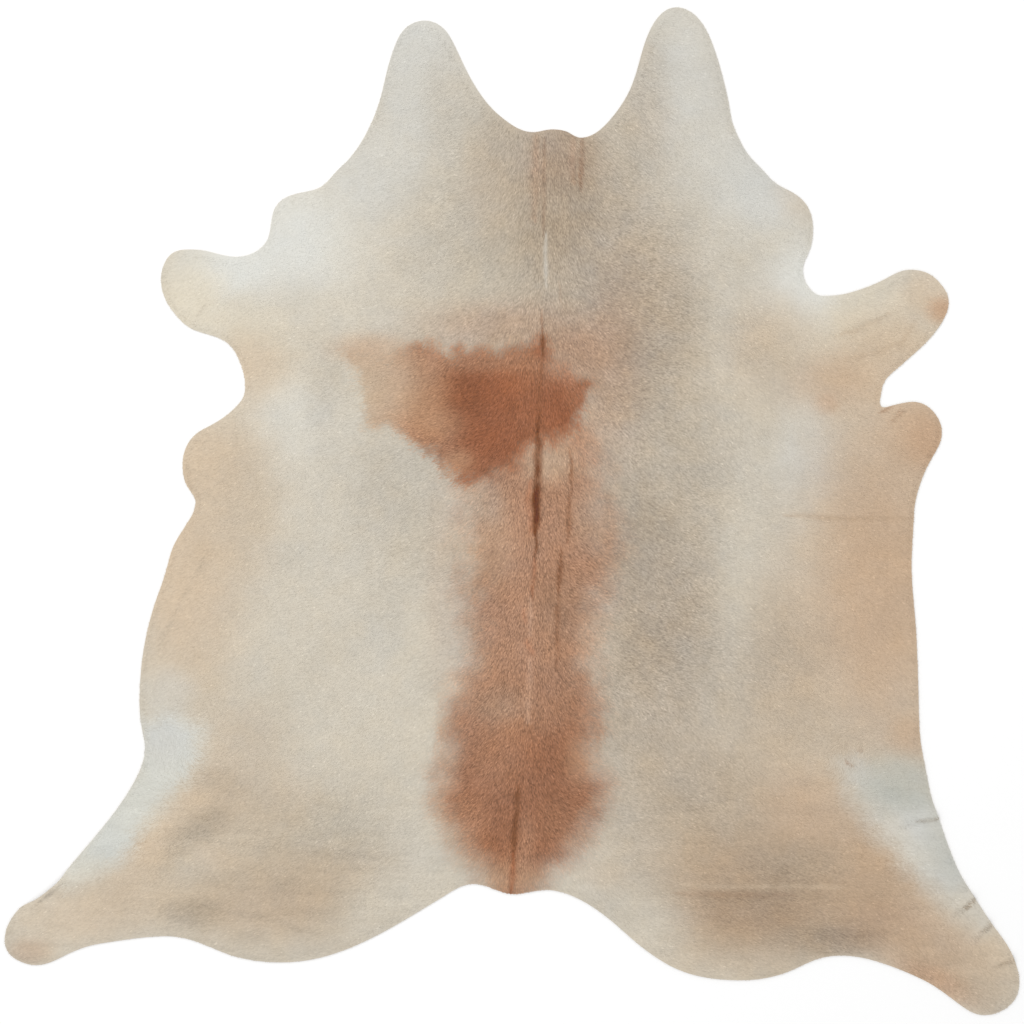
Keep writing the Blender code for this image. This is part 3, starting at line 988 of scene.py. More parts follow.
class NodeBoard:
    """A node tree in the making, with short ways to add nodes and join them."""

    COLOUR_MIX_INPUTS = (0, 6, 7)
    COLOUR_MIX_OUTPUT = 2

    def __init__(self, tree: bpy.types.NodeTree) -> None:
        """Takes the tree that the nodes go into."""
        self.tree = tree

    def add(
        self, kind: str, inputs: dict[str | int, object] | None = None, **settings: object
    ) -> bpy.types.Node:
        """Adds a node.

        Args:
            kind: The node's type name.
            inputs: Values or other nodes' sockets for its inputs, by name or number.
            **settings: Values for the node's own settings.

        Returns:
            The new node.
        """
        node = self.tree.nodes.new(kind)
        for name, value in settings.items():
            setattr(node, name, value)
        for key, value in (inputs or {}).items():
            self.feed(node.inputs[key], value)
        return node

    def feed(self, socket: Socket, value: object) -> None:
        """Gives an input a value, or joins it to another node's output.

        Args:
            socket: The input.
            value: The value, or the output to join it to.
        """
        if isinstance(value, Socket):
            self.tree.links.new(value, socket)
        else:
            socket.default_value = value

    def math(self, operation: str, *values: Socket | float) -> Socket:
        """Adds a Math node and returns its output."""
        return self.add("ShaderNodeMath", dict(enumerate(values)), operation=operation).outputs[0]

    def mix(self, share: Socket | float, under: object, over: object, how: str = "MIX") -> Socket:
        """Adds a colour Mix node.

        Args:
            share: How much of the second colour.
            under: The first colour.
            over: The second colour.
            how: The way the two are mixed.

        Returns:
            The mixed colour's socket.
        """
        node = self.add("ShaderNodeMix", data_type="RGBA", blend_type=how)
        for number, value in zip(self.COLOUR_MIX_INPUTS, (share, under, over)):
            self.feed(node.inputs[number], value)
        return node.outputs[self.COLOUR_MIX_OUTPUT]

    def off_middle(self, value: Socket, gain: Socket | float) -> Socket:
        """Adds the nodes that turn a value round a half into one round zero, times a gain."""
        return self.math("MULTIPLY", self.math("SUBTRACT", value, 0.5), gain)

    def clamped(self, value: Socket) -> Socket:
        """Adds the nodes that hold a value between 0 and 1."""
        return self.math("MINIMUM", self.math("MAXIMUM", value, 0.0), 1.0)

    def ranged(self, value: Socket, low: float, high: float, to_low: float, to_high: float) -> Socket:
        """Adds a Map Range node from one pair of bounds to another."""
        return self.add("ShaderNodeMapRange", {0: value, 1: low, 2: high, 3: to_low, 4: to_high}).outputs[0]

    def bump(self, height: Socket, strength: float, distance: float) -> Socket:
        """Adds a Bump node and returns its normal."""
        inputs = {"Height": height, "Strength": strength, "Distance": distance}
        return self.add("ShaderNodeBump", inputs).outputs[0]

    def noise(self, where: Socket, scale: float, detail: float = 2.0) -> Socket:
        """Adds a Noise texture and returns its value, which is about a half on average."""
        return self.add("ShaderNodeTexNoise", {"Vector": where, "Scale": scale, "Detail": detail}).outputs[0]

    def stretched(self, where: Socket, scale: tuple[float, float, float]) -> Socket:
        """Adds a Mapping node that scales a place along each axis."""
        return self.add("ShaderNodeMapping", {"Vector": where, "Scale": scale}).outputs[0]

    def attribute(self, name: str) -> bpy.types.Node:
        """Adds a node that reads one of the mesh's attributes."""
        return self.add("ShaderNodeAttribute", attribute_name=name)

    def group(self, tree: bpy.types.NodeTree, inputs: dict[str, object]) -> bpy.types.bpy_prop_collection:
        """Places a shader group and returns its outputs.

        Args:
            tree: The group.
            inputs: Values or other nodes' sockets for its inputs, by name.

        Returns:
            The group's outputs.
        """
        node = self.add("ShaderNodeGroup", node_tree=tree)
        for name, value in inputs.items():
            self.feed(node.inputs[name], value)
        return node.outputs


def new_group(
    name: str, kind: str, inputs: dict[str, str], outputs: dict[str, str]
) -> bpy.types.NodeTree:
    """Makes a node group with its sockets.

    Args:
        name: The group's name.
        kind: The tree's type name.
        inputs: Socket types by input name.
        outputs: Socket types by output name.

    Returns:
        The group, with a group input and a group output node in it.
    """
    tree = bpy.data.node_groups.new(name, kind)
    for way, sockets in (("INPUT", inputs), ("OUTPUT", outputs)):
        for label, socket_type in sockets.items():
            tree.interface.new_socket(label, in_out=way, socket_type=socket_type)
    tree.nodes.new("NodeGroupInput")
    tree.nodes.new("NodeGroupOutput")
    return tree


def new_material(name: str) -> tuple[bpy.types.Material, NodeBoard, bpy.types.Node]:
    """Makes a material.

    Args:
        name: Its name.

    Returns:
        The material, the board for its nodes, and its shader.
    """
    material = bpy.data.materials.new(name)
    material.use_nodes = True
    return material, NodeBoard(material.node_tree), material.node_tree.nodes["Principled BSDF"]


# The skin's clouds, in repeats a metre, and their warm tint
BROAD_CLOUDS = 9.0
BROAD_SHARE = 0.6
MIDDLING_CLOUDS = 38.0
WARM_CLOUDS = 16.0
WARM_SKIN = (1.0, 0.985, 0.95, 1.0)

# The hairs' fine dashes, in repeats a metre: along a hair, across it and upwards
DASH_ALONG = 170.0
DASH_ACROSS = 700.0
DASH_UP = 300.0
DASH_GAIN = 5.0


def cloud_group() -> bpy.types.NodeTree:
    """The shader group that clouds a colour: broad lighter, darker and warmer drifts, as in any undyed skin.

    Returns:
        The group, with inputs Colour and Amount and output Colour.
    """
    colour, number = "NodeSocketColor", "NodeSocketFloat"
    inputs = {"Colour": colour, "Amount": number}
    tree = new_group("skin clouds", "ShaderNodeTree", inputs, {"Colour": colour})
    board = NodeBoard(tree)
    given = tree.nodes["Group Input"].outputs
    where = board.add("ShaderNodeTexCoord").outputs["Object"]
    broad = board.math("MULTIPLY", board.noise(where, BROAD_CLOUDS, 3.0), BROAD_SHARE)
    middling = board.math("MULTIPLY", board.noise(where, MIDDLING_CLOUDS, 2.0), 1 - BROAD_SHARE)
    drift = board.off_middle(board.math("ADD", broad, middling), given["Amount"])
    shaded = board.mix(1.0, given["Colour"], board.math("ADD", drift, 1.0), "MULTIPLY")
    warmth = board.math("MULTIPLY", board.noise(where, WARM_CLOUDS, 1.0), given["Amount"])
    warmed = board.mix(1.0, shaded, WARM_SKIN, "MULTIPLY")
    board.feed(tree.nodes["Group Output"].inputs["Colour"], board.mix(warmth, shaded, warmed))
    return tree


def grain_group() -> bpy.types.NodeTree:
    """The shader group of hair grain: fine dashes that run with the hair, in colour and in height.

    Returns:
        The group, with inputs Colour, Stray and Lie and outputs Colour and Height.
    """
    colour, number, vector = "NodeSocketColor", "NodeSocketFloat", "NodeSocketVector"
    inputs = {"Colour": colour, "Stray": number, "Lie": vector}
    tree = new_group("hair grain", "ShaderNodeTree", inputs, {"Colour": colour, "Height": number})
    board = NodeBoard(tree)
    given = tree.nodes["Group Input"].outputs
    where = board.add("ShaderNodeTexCoord").outputs["Object"]
    side_dashes = board.noise(board.stretched(where, (DASH_ALONG, DASH_ACROSS, DASH_UP)), 1.0, 2.0)
    back_dashes = board.noise(board.stretched(where, (DASH_ACROSS, DASH_ALONG, DASH_UP)), 1.0, 2.0)
    lie = board.add("ShaderNodeSeparateXYZ", {0: given["Lie"]}).outputs
    backwards = board.math("MULTIPLY", lie["Y"], lie["Y"])
    mixed = {0: backwards, 2: side_dashes, 3: back_dashes}
    dashes = board.add("ShaderNodeMix", mixed, data_type="FLOAT").outputs[0]
    swing = board.off_middle(dashes, board.math("MULTIPLY", given["Stray"], DASH_GAIN))
    shade = board.math("ADD", swing, 1.0)
    result = tree.nodes["Group Output"].inputs
    board.feed(result["Colour"], board.mix(1.0, given["Colour"], shade, "MULTIPLY"))
    board.feed(result["Height"], dashes)
    return tree


@dataclass(frozen=True)
class UndercoatFinish:
    """The short hair that shows between the locks, over the whole hair side."""

    roughness: float = 0.62
    specular: float = 0.30
    cloud_amount: float = 0.10
    bump_distance: float = 0.2 * MM
    bump_strength: float = 0.4

    def material(self, clouds: bpy.types.NodeTree, grain: bpy.types.NodeTree) -> bpy.types.Material:
        """Builds the material.

        Args:
            clouds: The shader group that clouds a colour.
            grain: The shader group of hair grain.

        Returns:
            The material.
        """
        material, board, shader = new_material("undercoat")
        painted = board.attribute(COAT_COLOUR).outputs
        lie = board.attribute(LIE).outputs["Vector"]
        clouded = board.group(clouds, {"Colour": painted["Color"], "Amount": self.cloud_amount})
        hairs = {"Colour": clouded["Colour"], "Stray": painted["Alpha"], "Lie": lie}
        hairy = board.group(grain, hairs)
        board.feed(shader.inputs["Base Color"], hairy["Colour"])
        bump = board.bump(hairy["Height"], self.bump_strength, self.bump_distance)
        board.feed(shader.inputs["Normal"], bump)
        shader.inputs["Roughness"].default_value = self.roughness
        shader.inputs["Specular IOR Level"].default_value = self.specular
        return material


@dataclass(frozen=True)
class LockFinish:
    """The locks of longer hair: darker at the root, paler at the tip, with the hairs' own fine lines."""

    roughness: float = 0.52
    specular: float = 0.32
    cloud_amount: float = 0.10
    root_shade: float = 0.95
    tip_shade: float = 1.03
    hairs_across: float = 5.0
    hairs_apart: float = 40.0
    hair_gain: float = 0.12
    bump_distance: float = 0.12 * MM
    bump_strength: float = 0.4

    def material(self, clouds: bpy.types.NodeTree) -> bpy.types.Material:
        """Builds the material.

        Args:
            clouds: The shader group that clouds a colour.

        Returns:
            The material.
        """
        material, board, shader = new_material("hair locks")
        painted = board.attribute(COAT_COLOUR).outputs["Color"]
        clouded = board.group(clouds, {"Colour": painted, "Amount": self.cloud_amount})
        strand = board.add("ShaderNodeSeparateXYZ", {0: board.attribute(STRAND).outputs["Vector"]}).outputs
        aside = board.math("MULTIPLY", strand["X"], self.hairs_across)
        apart = board.math("MULTIPLY", board.attribute(TONE).outputs["Fac"], self.hairs_apart)
        hair_place = board.add("ShaderNodeCombineXYZ", {0: aside, 1: strand["Y"], 2: apart}).outputs[0]
        hairs = board.noise(hair_place, 1.0, 1.0)
        reach = board.ranged(strand["Y"], 0.0, 1.0, self.root_shade, self.tip_shade)
        lines = board.math("ADD", board.off_middle(hairs, self.hair_gain), 1.0)
        shade = board.math("MULTIPLY", reach, lines)
        board.feed(shader.inputs["Base Color"], board.mix(1.0, clouded["Colour"], shade, "MULTIPLY"))
        board.feed(shader.inputs["Normal"], board.bump(hairs, self.bump_strength, self.bump_distance))
        shader.inputs["Roughness"].default_value = self.roughness
        shader.inputs["Specular IOR Level"].default_value = self.specular
        return material


@dataclass(frozen=True)
class SuedeFinish:
    """The flesh side: pale buffed suede with nap clouds and faint veins."""

    colour: Colour = (0.60, 0.53, 0.43, 1.0)
    dark_nap: Colour = (0.47, 0.40, 0.32, 1.0)
    roughness: float = 0.92
    specular: float = 0.15
    clouds: float = 7.0
    cloud_bounds: tuple[float, float] = (0.35, 0.65)
    cloud_share: float = 0.5
    veins: float = 11.0
    vein_width: float = 0.03
    vein_share: float = 0.12
    nap: float = 420.0
    nap_middle: float = 0.35
    nap_share: float = 0.5
    bump_distance: float = 0.3 * MM
    bump_strength: float = 0.5

    def material(self) -> bpy.types.Material:
        """Builds the material.

        Returns:
            The material.
        """
        material, board, shader = new_material("suede side")
        where = board.add("ShaderNodeTexCoord").outputs["Object"]
        nap = board.noise(where, self.nap, 2.0)
        net = {"Vector": where, "Scale": self.veins}
        veins = board.add("ShaderNodeTexVoronoi", net, feature="DISTANCE_TO_EDGE").outputs[0]
        vein = board.ranged(veins, 0.0, self.vein_width, self.vein_share, 0.0)
        low, high = self.cloud_bounds
        patches = board.ranged(board.noise(where, self.clouds, 4.0), low, high, 0.0, self.cloud_share)
        fibres = board.math("MULTIPLY", board.math("SUBTRACT", nap, self.nap_middle), self.nap_share)
        share = board.clamped(board.math("ADD", board.math("ADD", patches, fibres), vein))
        board.feed(shader.inputs["Base Color"], board.mix(share, self.colour, self.dark_nap))
        board.feed(shader.inputs["Normal"], board.bump(nap, self.bump_strength, self.bump_distance))
        shader.inputs["Roughness"].default_value = self.roughness
        shader.inputs["Specular IOR Level"].default_value = self.specular
        return material


@dataclass(frozen=True)
class RawEdgeFinish:
    """The cut through the skin: pale fibres with a darker grain layer under the hair."""

    fibre: Colour = (0.56, 0.48, 0.38, 1.0)
    grain_layer: Colour = (0.36, 0.28, 0.20, 1.0)
    grain_share: float = 0.8
    grain_start: float = 0.6 * LEATHER
    roughness: float = 0.85
    fibres: float = 900.0
    fibre_share: float = 0.5
    bump_distance: float = 0.2 * MM
    bump_strength: float = 0.6

    def material(self) -> bpy.types.Material:
        """Builds the material.

        Returns:
            The material.
        """
        material, board, shader = new_material("raw edge")
        where = board.add("ShaderNodeTexCoord").outputs["Object"]
        height = board.add("ShaderNodeSeparateXYZ", {0: where}).outputs["Z"]
        level = board.ranged(height, self.grain_start, LEATHER, 0.0, self.grain_share)
        fibres = board.noise(where, self.fibres, 2.0)
        share = board.clamped(board.math("ADD", level, board.off_middle(fibres, self.fibre_share)))
        board.feed(shader.inputs["Base Color"], board.mix(share, self.fibre, self.grain_layer))
        board.feed(shader.inputs["Normal"], board.bump(fibres, self.bump_strength, self.bump_distance))
        shader.inputs["Roughness"].default_value = self.roughness
        return material


# How far apart the rows of even triangles lie, for each unit along a row
ROW_RISE = math.sqrt(0.75)


class Net(NamedTuple):
    """A flat net of triangles: its places, those of the edge first, and its triangles' corners."""

    places: Array
    triangles: Array


class SkinSide(IntEnum):
    """A side of the skin, in the order of the sheet's finishes."""

    COAT = 0
    FLESH = 1
    RAW = 2


@dataclass
class Skin:
    """The hide itself: one closed sheet with its hair side, its raw edge and its suede side."""

    edge: CutEdge
    relief: Relief
    chart: CoatChart
    flow: HairFlow
    top_pitch: float = 7.0 * MM
    top_room: float = 7.0 * MM
    fine_room: float = 6.0 * MM
    fine_band: float = 11 * MM
    faintest_streak: float = 0.02
    flesh_pitch: float = 26 * MM
    flesh_parts: int = 4
    rim_inset: float = 3.5 * MM
    least_inset: float = 0.8
    sharp_from: float = math.radians(50)
    only_inside: int = 1
    least_gap: float = 1e-7
    name: str = "hide_skin"
    map_width: float = 2.01
    corner_side: float = 0.13
    corner_start: Place = (0.01, 0.85)
    band_start: Place = (0.01, 0.80)
    band_height: float = 0.01
    object: bpy.types.Object | None = field(default=None, init=False)

    def lattice(self) -> Array:
        """Places in staggered rows, twice as close near the shoulder patch's edge and the streaks.

        Returns:
            The places, one to a row.
        """
        half = self.top_pitch / 2
        low, high = self.edge.loop.min(axis=0), self.edge.loop.max(axis=0)
        counts = np.ceil((high - low) / np.array((half, half * ROW_RISE))).astype(int)
        column, row = (part.ravel() for part in np.meshgrid(np.arange(counts[0]), np.arange(counts[1])))
        across = low[0] + (column + 0.5 * (row % 2)) * half
        along = low[1] + row * half * ROW_RISE
        places = np.stack([across, along], axis=1)
        wide = (row % 2 == 0) & (column % 2 == (row // 2) % 2)
        near = np.abs(SHOULDER_PATCH.depth(places)) < self.fine_band
        for streak in self.chart.streaks:
            near |= streak.share(places) > self.faintest_streak * streak.strength
        wanted = wide | near
        room = np.where(wide, self.top_room, self.fine_room)[wanted]
        places = places[wanted]
        return places[self.edge.depth(places) > room]

    def net(self, inner: Array) -> Net:
        """Fills the cut edge with triangles.

        Args:
            inner: The places inside the edge that the triangles use.

        Returns:
            The net.
        """
        ring = list(range(len(self.edge.loop)))
        sides = list(zip(ring, ring[1:] + ring[:1]))
        places = [Vector(place) for place in np.concatenate([self.edge.loop, inner])]
        filled = geometry.delaunay_2d_cdt(places, sides, [ring], self.only_inside, self.least_gap)
        places, _, triangles, *_ = filled
        return Net(np.array([place[:] for place in places]), np.array(triangles))

    def rim_row(self) -> Array:
        """A row of places just inside the edge, where the coat rolls over.

        Returns:
            The places, one to a row.
        """
        run = np.roll(self.edge.loop, -1, axis=0) - np.roll(self.edge.loop, 1, axis=0)
        inward = np.stack([-run[:, 1], run[:, 0]], axis=1) / np.linalg.norm(run, axis=1)[:, None]
        row = self.edge.loop + inward * self.rim_inset
        return row[self.edge.depth(row) > self.least_inset * self.rim_inset]

    def build(self) -> Net:
        """Builds the sheet's mesh and its object.

        Returns:
            The net of the hair side, for the locks to grow on.
        """
        top = self.net(np.concatenate([self.rim_row(), self.lattice()]))
        flesh = self.net(self.flesh_lattice())
        ring = len(self.edge.loop)
        top_verts = np.column_stack([top.places, self.relief.top(top.places)])
        flesh_verts = np.column_stack([flesh.places, self.relief.underside(flesh.places)])
        collar = flesh_verts[:ring] + np.array((0, 0, LEATHER))
        verts = np.vstack([top_verts, flesh_verts, collar])
        first_flesh, first_collar = len(top.places), len(top.places) + len(flesh.places)
        starts = (0, first_flesh, first_collar)
        coat_row, flesh_row, collar_row = (np.arange(ring) + start for start in starts)
        faces = top.triangles.tolist() + (flesh.triangles[:, ::-1] + first_flesh).tolist()
        for lower, upper in ((collar_row, coat_row), (flesh_row, collar_row)):
            faces += np.stack([lower, np.roll(lower, -1), np.roll(upper, -1), upper], axis=1).tolist()
        mesh = bpy.data.meshes.new(self.name)
        mesh.from_pydata(verts.tolist(), [], faces)
        runs = (
            (SkinSide.COAT, len(top.triangles)),
            (SkinSide.FLESH, len(flesh.triangles)),
            (SkinSide.COAT, ring),
            (SkinSide.RAW, ring),
        )
        sides = np.concatenate([np.full(count, int(side)) for side, count in runs])
        mesh.polygons.foreach_set("material_index", sides.tolist())
        mesh.shade_smooth()
        mesh.set_sharp_from_angle(angle=self.sharp_from)
        self.lay_map(mesh, verts, sides, ring)
        self.write(mesh, verts[:, :2])
        self.object = bpy.data.objects.new(self.name, mesh)
        bpy.context.scene.collection.objects.link(self.object)
        return top

    def flesh_lattice(self) -> Array:
        """Wide-spaced places for the flesh side, with closer ones where it lifts.

        Returns:
            The places, one to a row.
        """
        close = self.flesh_pitch / self.flesh_parts
        low, high = self.edge.loop.min(axis=0), self.edge.loop.max(axis=0)
        rows = (np.arange(low[axis], high[axis], close) for axis in (0, 1))
        spots = np.stack(np.meshgrid(*rows), axis=-1)
        counts = np.indices(spots.shape[:2]).reshape(2, -1)
        spots = spots.reshape(-1, 2)
        lifted = self.relief.underside(spots) > 0
        wanted = np.all(counts % self.flesh_parts == 0, axis=0) | lifted
        room = np.where(lifted, close / 2, self.flesh_pitch / 3)[wanted]
        spots = spots[wanted]
        return spots[self.edge.depth(spots) > room]

    def lay_map(self, mesh: bpy.types.Mesh, verts: Array, sides: Array, ring: int) -> None:
        """Lays the bake map: the coat at full size, the flesh side and the raw edge small in a corner.

        Args:
            mesh: The sheet's mesh.
            verts: Its vertices' places.
            sides: The side of the skin that each face is on.
            ring: How many faces go round each band of the wall.
        """
        flat = verts[:, :2] / (np.abs(verts[:, :2]).max() * self.map_width) + 0.5
        small_flat = flat * self.corner_side + np.array(self.corner_start)
        starts = np.zeros(len(mesh.polygons), int)
        mesh.polygons.foreach_get("loop_start", starts)
        corner_vert = np.zeros(len(mesh.loops), int)
        mesh.loops.foreach_get("vertex_index", corner_vert)
        face = np.repeat(np.arange(len(starts)), np.diff(np.append(starts, len(corner_vert))))
        where = flat[corner_vert]
        small = sides[face] == SkinSide.FLESH
        where[small] = small_flat[corner_vert[small]]
        raw = sides[face] == SkinSide.RAW
        turn = (corner_vert % ring) / ring
        upper = verts[corner_vert, 2] > 0.5 * LEATHER
        across, along = self.band_start
        band = np.stack([across + self.corner_side * turn, along + self.band_height * upper], axis=1)
        where[raw] = band[raw]
        layer = mesh.uv_layers.new(name=BAKE_MAP)
        layer.uv.foreach_set("vector", where.ravel())

    def write(self, mesh: bpy.types.Mesh, places: Array) -> None:
        """Writes the coat's colour and the lie of its hair on a mesh.

        Args:
            mesh: The mesh.
            places: Its vertices' places, seen from above.
        """
        colours = self.chart.paint(places)
        mesh.attributes.new(COAT_COLOUR, "FLOAT_COLOR", "POINT").data.foreach_set("color", colours.ravel())
        lie = self.flow.direction(places)
        mesh.attributes.new(LIE, "FLOAT_VECTOR", "POINT").data.foreach_set("vector", lie.ravel())


class CoatArea(Enum):
    """An area of the coat, with the name of its piece."""

    NECK = "coat_of_the_neck"
    LEFT = "coat_of_the_left_side"
    BACK = "coat_of_the_back"
    RIGHT = "coat_of_the_right_side"
    HAUNCHES = "coat_of_the_haunches"


@dataclass
class Locks:
    """The hair locks that lie over the hide, grown by Geometry Nodes, one piece for each area."""

    skin: Skin
    net: Net
    density: float = 67000.0
    length: float = 10.0 * MM
    width: float = 2.1 * MM
    ridge: float = 0.30 * MM
    sink: float = 0.30 * MM
    lift: float = 0.45 * MM
    overhang: float = 1.2 * MM
    stray_angle: float = math.radians(11)
    neck_line: float = 340 * MM
    haunch_line: float = -590 * MM
    back_reach: tuple[float, float] = (-260 * MM, 330 * MM)
    belly_power: float = 1.35
    least_scale: float = 0.2
    scale_bounds: tuple[float, float] = (0.7, 1.3)
    verts_of_a_lock: int = 5
    map_share: float = 0.998
    map_start: float = 0.001

    def area_of(self, places: Array) -> Array:
        """Which area each place is in.

        Args:
            places: Places, one to a row.

        Returns:
            The areas' numbers, in the order of CoatArea.
        """
        left, right = self.back_reach
        names = list(CoatArea)
        area = np.full(len(places), names.index(CoatArea.BACK))
        area[places[:, 0] < left] = names.index(CoatArea.LEFT)
        area[places[:, 0] > right] = names.index(CoatArea.RIGHT)
        area[places[:, 1] > self.neck_line] = names.index(CoatArea.NECK)
        area[places[:, 1] < self.haunch_line] = names.index(CoatArea.HAUNCHES)
        return area

    def tree(self, finish: bpy.types.Material) -> bpy.types.NodeTree:
        """Builds the Geometry Nodes tree that grows locks over a net.

        Args:
            finish: The locks' material.

        Returns:
            The tree.
        """
        number, whole = "NodeSocketFloat", "NodeSocketInt"
        inputs = {"Net": "NodeSocketGeometry", "Density": number, "Seed": whole}
        for name in ("Length", "Width", "Ridge", "Sink", "Lift", "Overhang", "Stray angle"):
            inputs[name] = number
        inputs["Finish"] = "NodeSocketMaterial"
        tree = new_group("hair locks", "GeometryNodeTree", inputs, {"Locks": "NodeSocketGeometry"})
        board = NodeBoard(tree)
        given = tree.nodes["Group Input"].outputs
        spread_over = {"Mesh": given["Net"], "Density": given["Density"], "Seed": given["Seed"]}
        spread = board.add("GeometryNodeDistributePointsOnFaces", spread_over)
        place = board.add("GeometryNodeInputPosition").outputs[0]
        roots = self.store(board, spread.outputs["Points"], ROOT, "FLOAT_VECTOR", place)
        roots = self.store(board, roots, TONE, "FLOAT", self.chance(board, (0.0, 1.0), LockSeed.TONE))
        grown = board.add(
            "GeometryNodeInstanceOnPoints",
            {
                "Points": roots,
                "Instance": self.one_lock(board, given),
                "Rotation": self.aim(board, given, spread.outputs["Normal"]),
                "Scale": self.size(board, given),
            },
        )
        plain = board.add("GeometryNodeRealizeInstances", {0: grown.outputs[0]})
        dressing = {"Geometry": plain.outputs[0], "Material": given["Finish"]}
        dressed = board.add("GeometryNodeSetMaterial", dressing)
        board.feed(tree.nodes["Group Output"].inputs["Locks"], dressed.outputs[0])
        return tree

    @staticmethod
    def store(board: NodeBoard, shape: Socket, name: str, kind: str, value: Socket) -> Socket:
        """Stores a value on a shape's points.

        Args:
            board: The board for its nodes.
            shape: The shape.
            name: The name that the value is stored under.
            kind: The value's data type.
            value: The value.

        Returns:
            The shape with its value.
        """
        inputs = {"Geometry": shape, "Name": name}
        node = board.add("GeometryNodeStoreNamedAttribute", inputs, data_type=kind, domain="POINT")
        board.feed(node.inputs["Value"], value)
        return node.outputs[0]

    @staticmethod
    def chance(board: NodeBoard, bounds: tuple[float, float], seed: LockSeed) -> Socket:
        """A chance value for each lock.

        Args:
            board: The board for its nodes.
            bounds: The lowest and the highest value.
            seed: Which set of chance values.

        Returns:
            The value's socket.
        """
        node = board.add("FunctionNodeRandomValue", data_type="FLOAT")
        numbers = [socket for socket in node.inputs if socket.type == "VALUE"]
        for name, value in zip(("Min", "Max"), bounds):
            next(socket for socket in numbers if socket.name == name).default_value = value
        node.inputs["Seed"].default_value = int(seed)
        return node.outputs[1]

    def one_lock(self, board: NodeBoard, given: bpy.types.bpy_prop_collection) -> Socket:
        """One lock along +X from its root: a narrow leaf of four faces with a raised ridge.

        Args:
            board: The board for its nodes.
            given: The tree's inputs.

        Returns:
            The lock's shape.
        """
        round_it = {"Vertices": self.verts_of_a_lock - 1, "Radius": 1.0}
        leaf = board.add("GeometryNodeMeshCircle", round_it, fill_type="TRIANGLE_FAN").outputs[0]
        corner = board.add("GeometryNodeInputPosition").outputs[0]
        where = board.add("ShaderNodeSeparateXYZ", {0: corner}).outputs
        reach = board.math("MULTIPLY", board.math("ADD", where["X"], 1.0), 0.5)
        station = board.add("ShaderNodeCombineXYZ", {0: where["Y"], 1: reach}).outputs[0]
        leaf = self.store(board, leaf, STRAND, "FLOAT_VECTOR", station)
        belly = board.math("POWER", reach, self.belly_power)
        along = board.math("MULTIPLY", belly, given["Length"])
        aside = board.math("MULTIPLY", where["Y"], board.math("MULTIPLY", given["Width"], 0.5))
        flank = board.math("SUBTRACT", 1.0, board.math("ABSOLUTE", where["Y"]))
        middle = board.math("SUBTRACT", 1.0, board.math("ABSOLUTE", where["X"]))
        crest = board.math("MULTIPLY", board.math("MULTIPLY", flank, middle), given["Ridge"])
        climb = board.math("MULTIPLY", reach, board.math("ADD", given["Sink"], given["Lift"]))
        height = board.math("ADD", crest, board.math("SUBTRACT", climb, given["Sink"]))
        place = board.add("ShaderNodeCombineXYZ", {0: along, 1: aside, 2: height}).outputs[0]
        return board.add("GeometryNodeSetPosition", {"Geometry": leaf, "Position": place}).outputs[0]

    def aim(self, board: NodeBoard, given: bpy.types.bpy_prop_collection, normal: Socket) -> Socket:
        """Stands each lock square to the skin and turns it along the hair's lie, with a little straying.

        Args:
            board: The board for its nodes.
            given: The tree's inputs.
            normal: The skin's normal at each root.

        Returns:
            The rotation of each lock.
        """
        align = "FunctionNodeAlignRotationToVector"
        lie = board.add("GeometryNodeInputNamedAttribute", {"Name": LIE}, data_type="FLOAT_VECTOR").outputs[0]
        square = board.add(align, {"Vector": normal}, axis="Z").outputs[0]
        laid = board.add(align, {"Rotation": square, "Vector": lie}, axis="X", pivot_axis="Z").outputs[0]
        yaw = board.math("MULTIPLY", self.chance(board, (-1.0, 1.0), LockSeed.YAW), given["Stray angle"])
        upright = board.add("ShaderNodeCombineXYZ", {2: yaw}).outputs[0]
        turn = board.add("FunctionNodeEulerToRotation", {0: upright}).outputs[0]
        return board.add("FunctionNodeRotateRotation", {0: laid, 1: turn}, rotation_space="LOCAL").outputs[0]

    def size(self, board: NodeBoard, given: bpy.types.bpy_prop_collection) -> Socket:
        """Varies each lock's size, and keeps those by the cut edge short.

        Args:
            board: The board for its nodes.
            given: The tree's inputs.

        Returns:
            The scale of each lock.
        """
        room = board.add("GeometryNodeInputNamedAttribute", {"Name": ROOM}, data_type="FLOAT").outputs[0]
        most = board.math("DIVIDE", board.math("ADD", room, given["Overhang"]), given["Length"])
        most = board.math("MAXIMUM", most, self.least_scale)
        length = board.math("MINIMUM", self.chance(board, self.scale_bounds, LockSeed.LENGTH), most)
        width = self.chance(board, self.scale_bounds, LockSeed.WIDTH)
        return board.add("ShaderNodeCombineXYZ", {0: length, 1: width, 2: 1.0}).outputs[0]

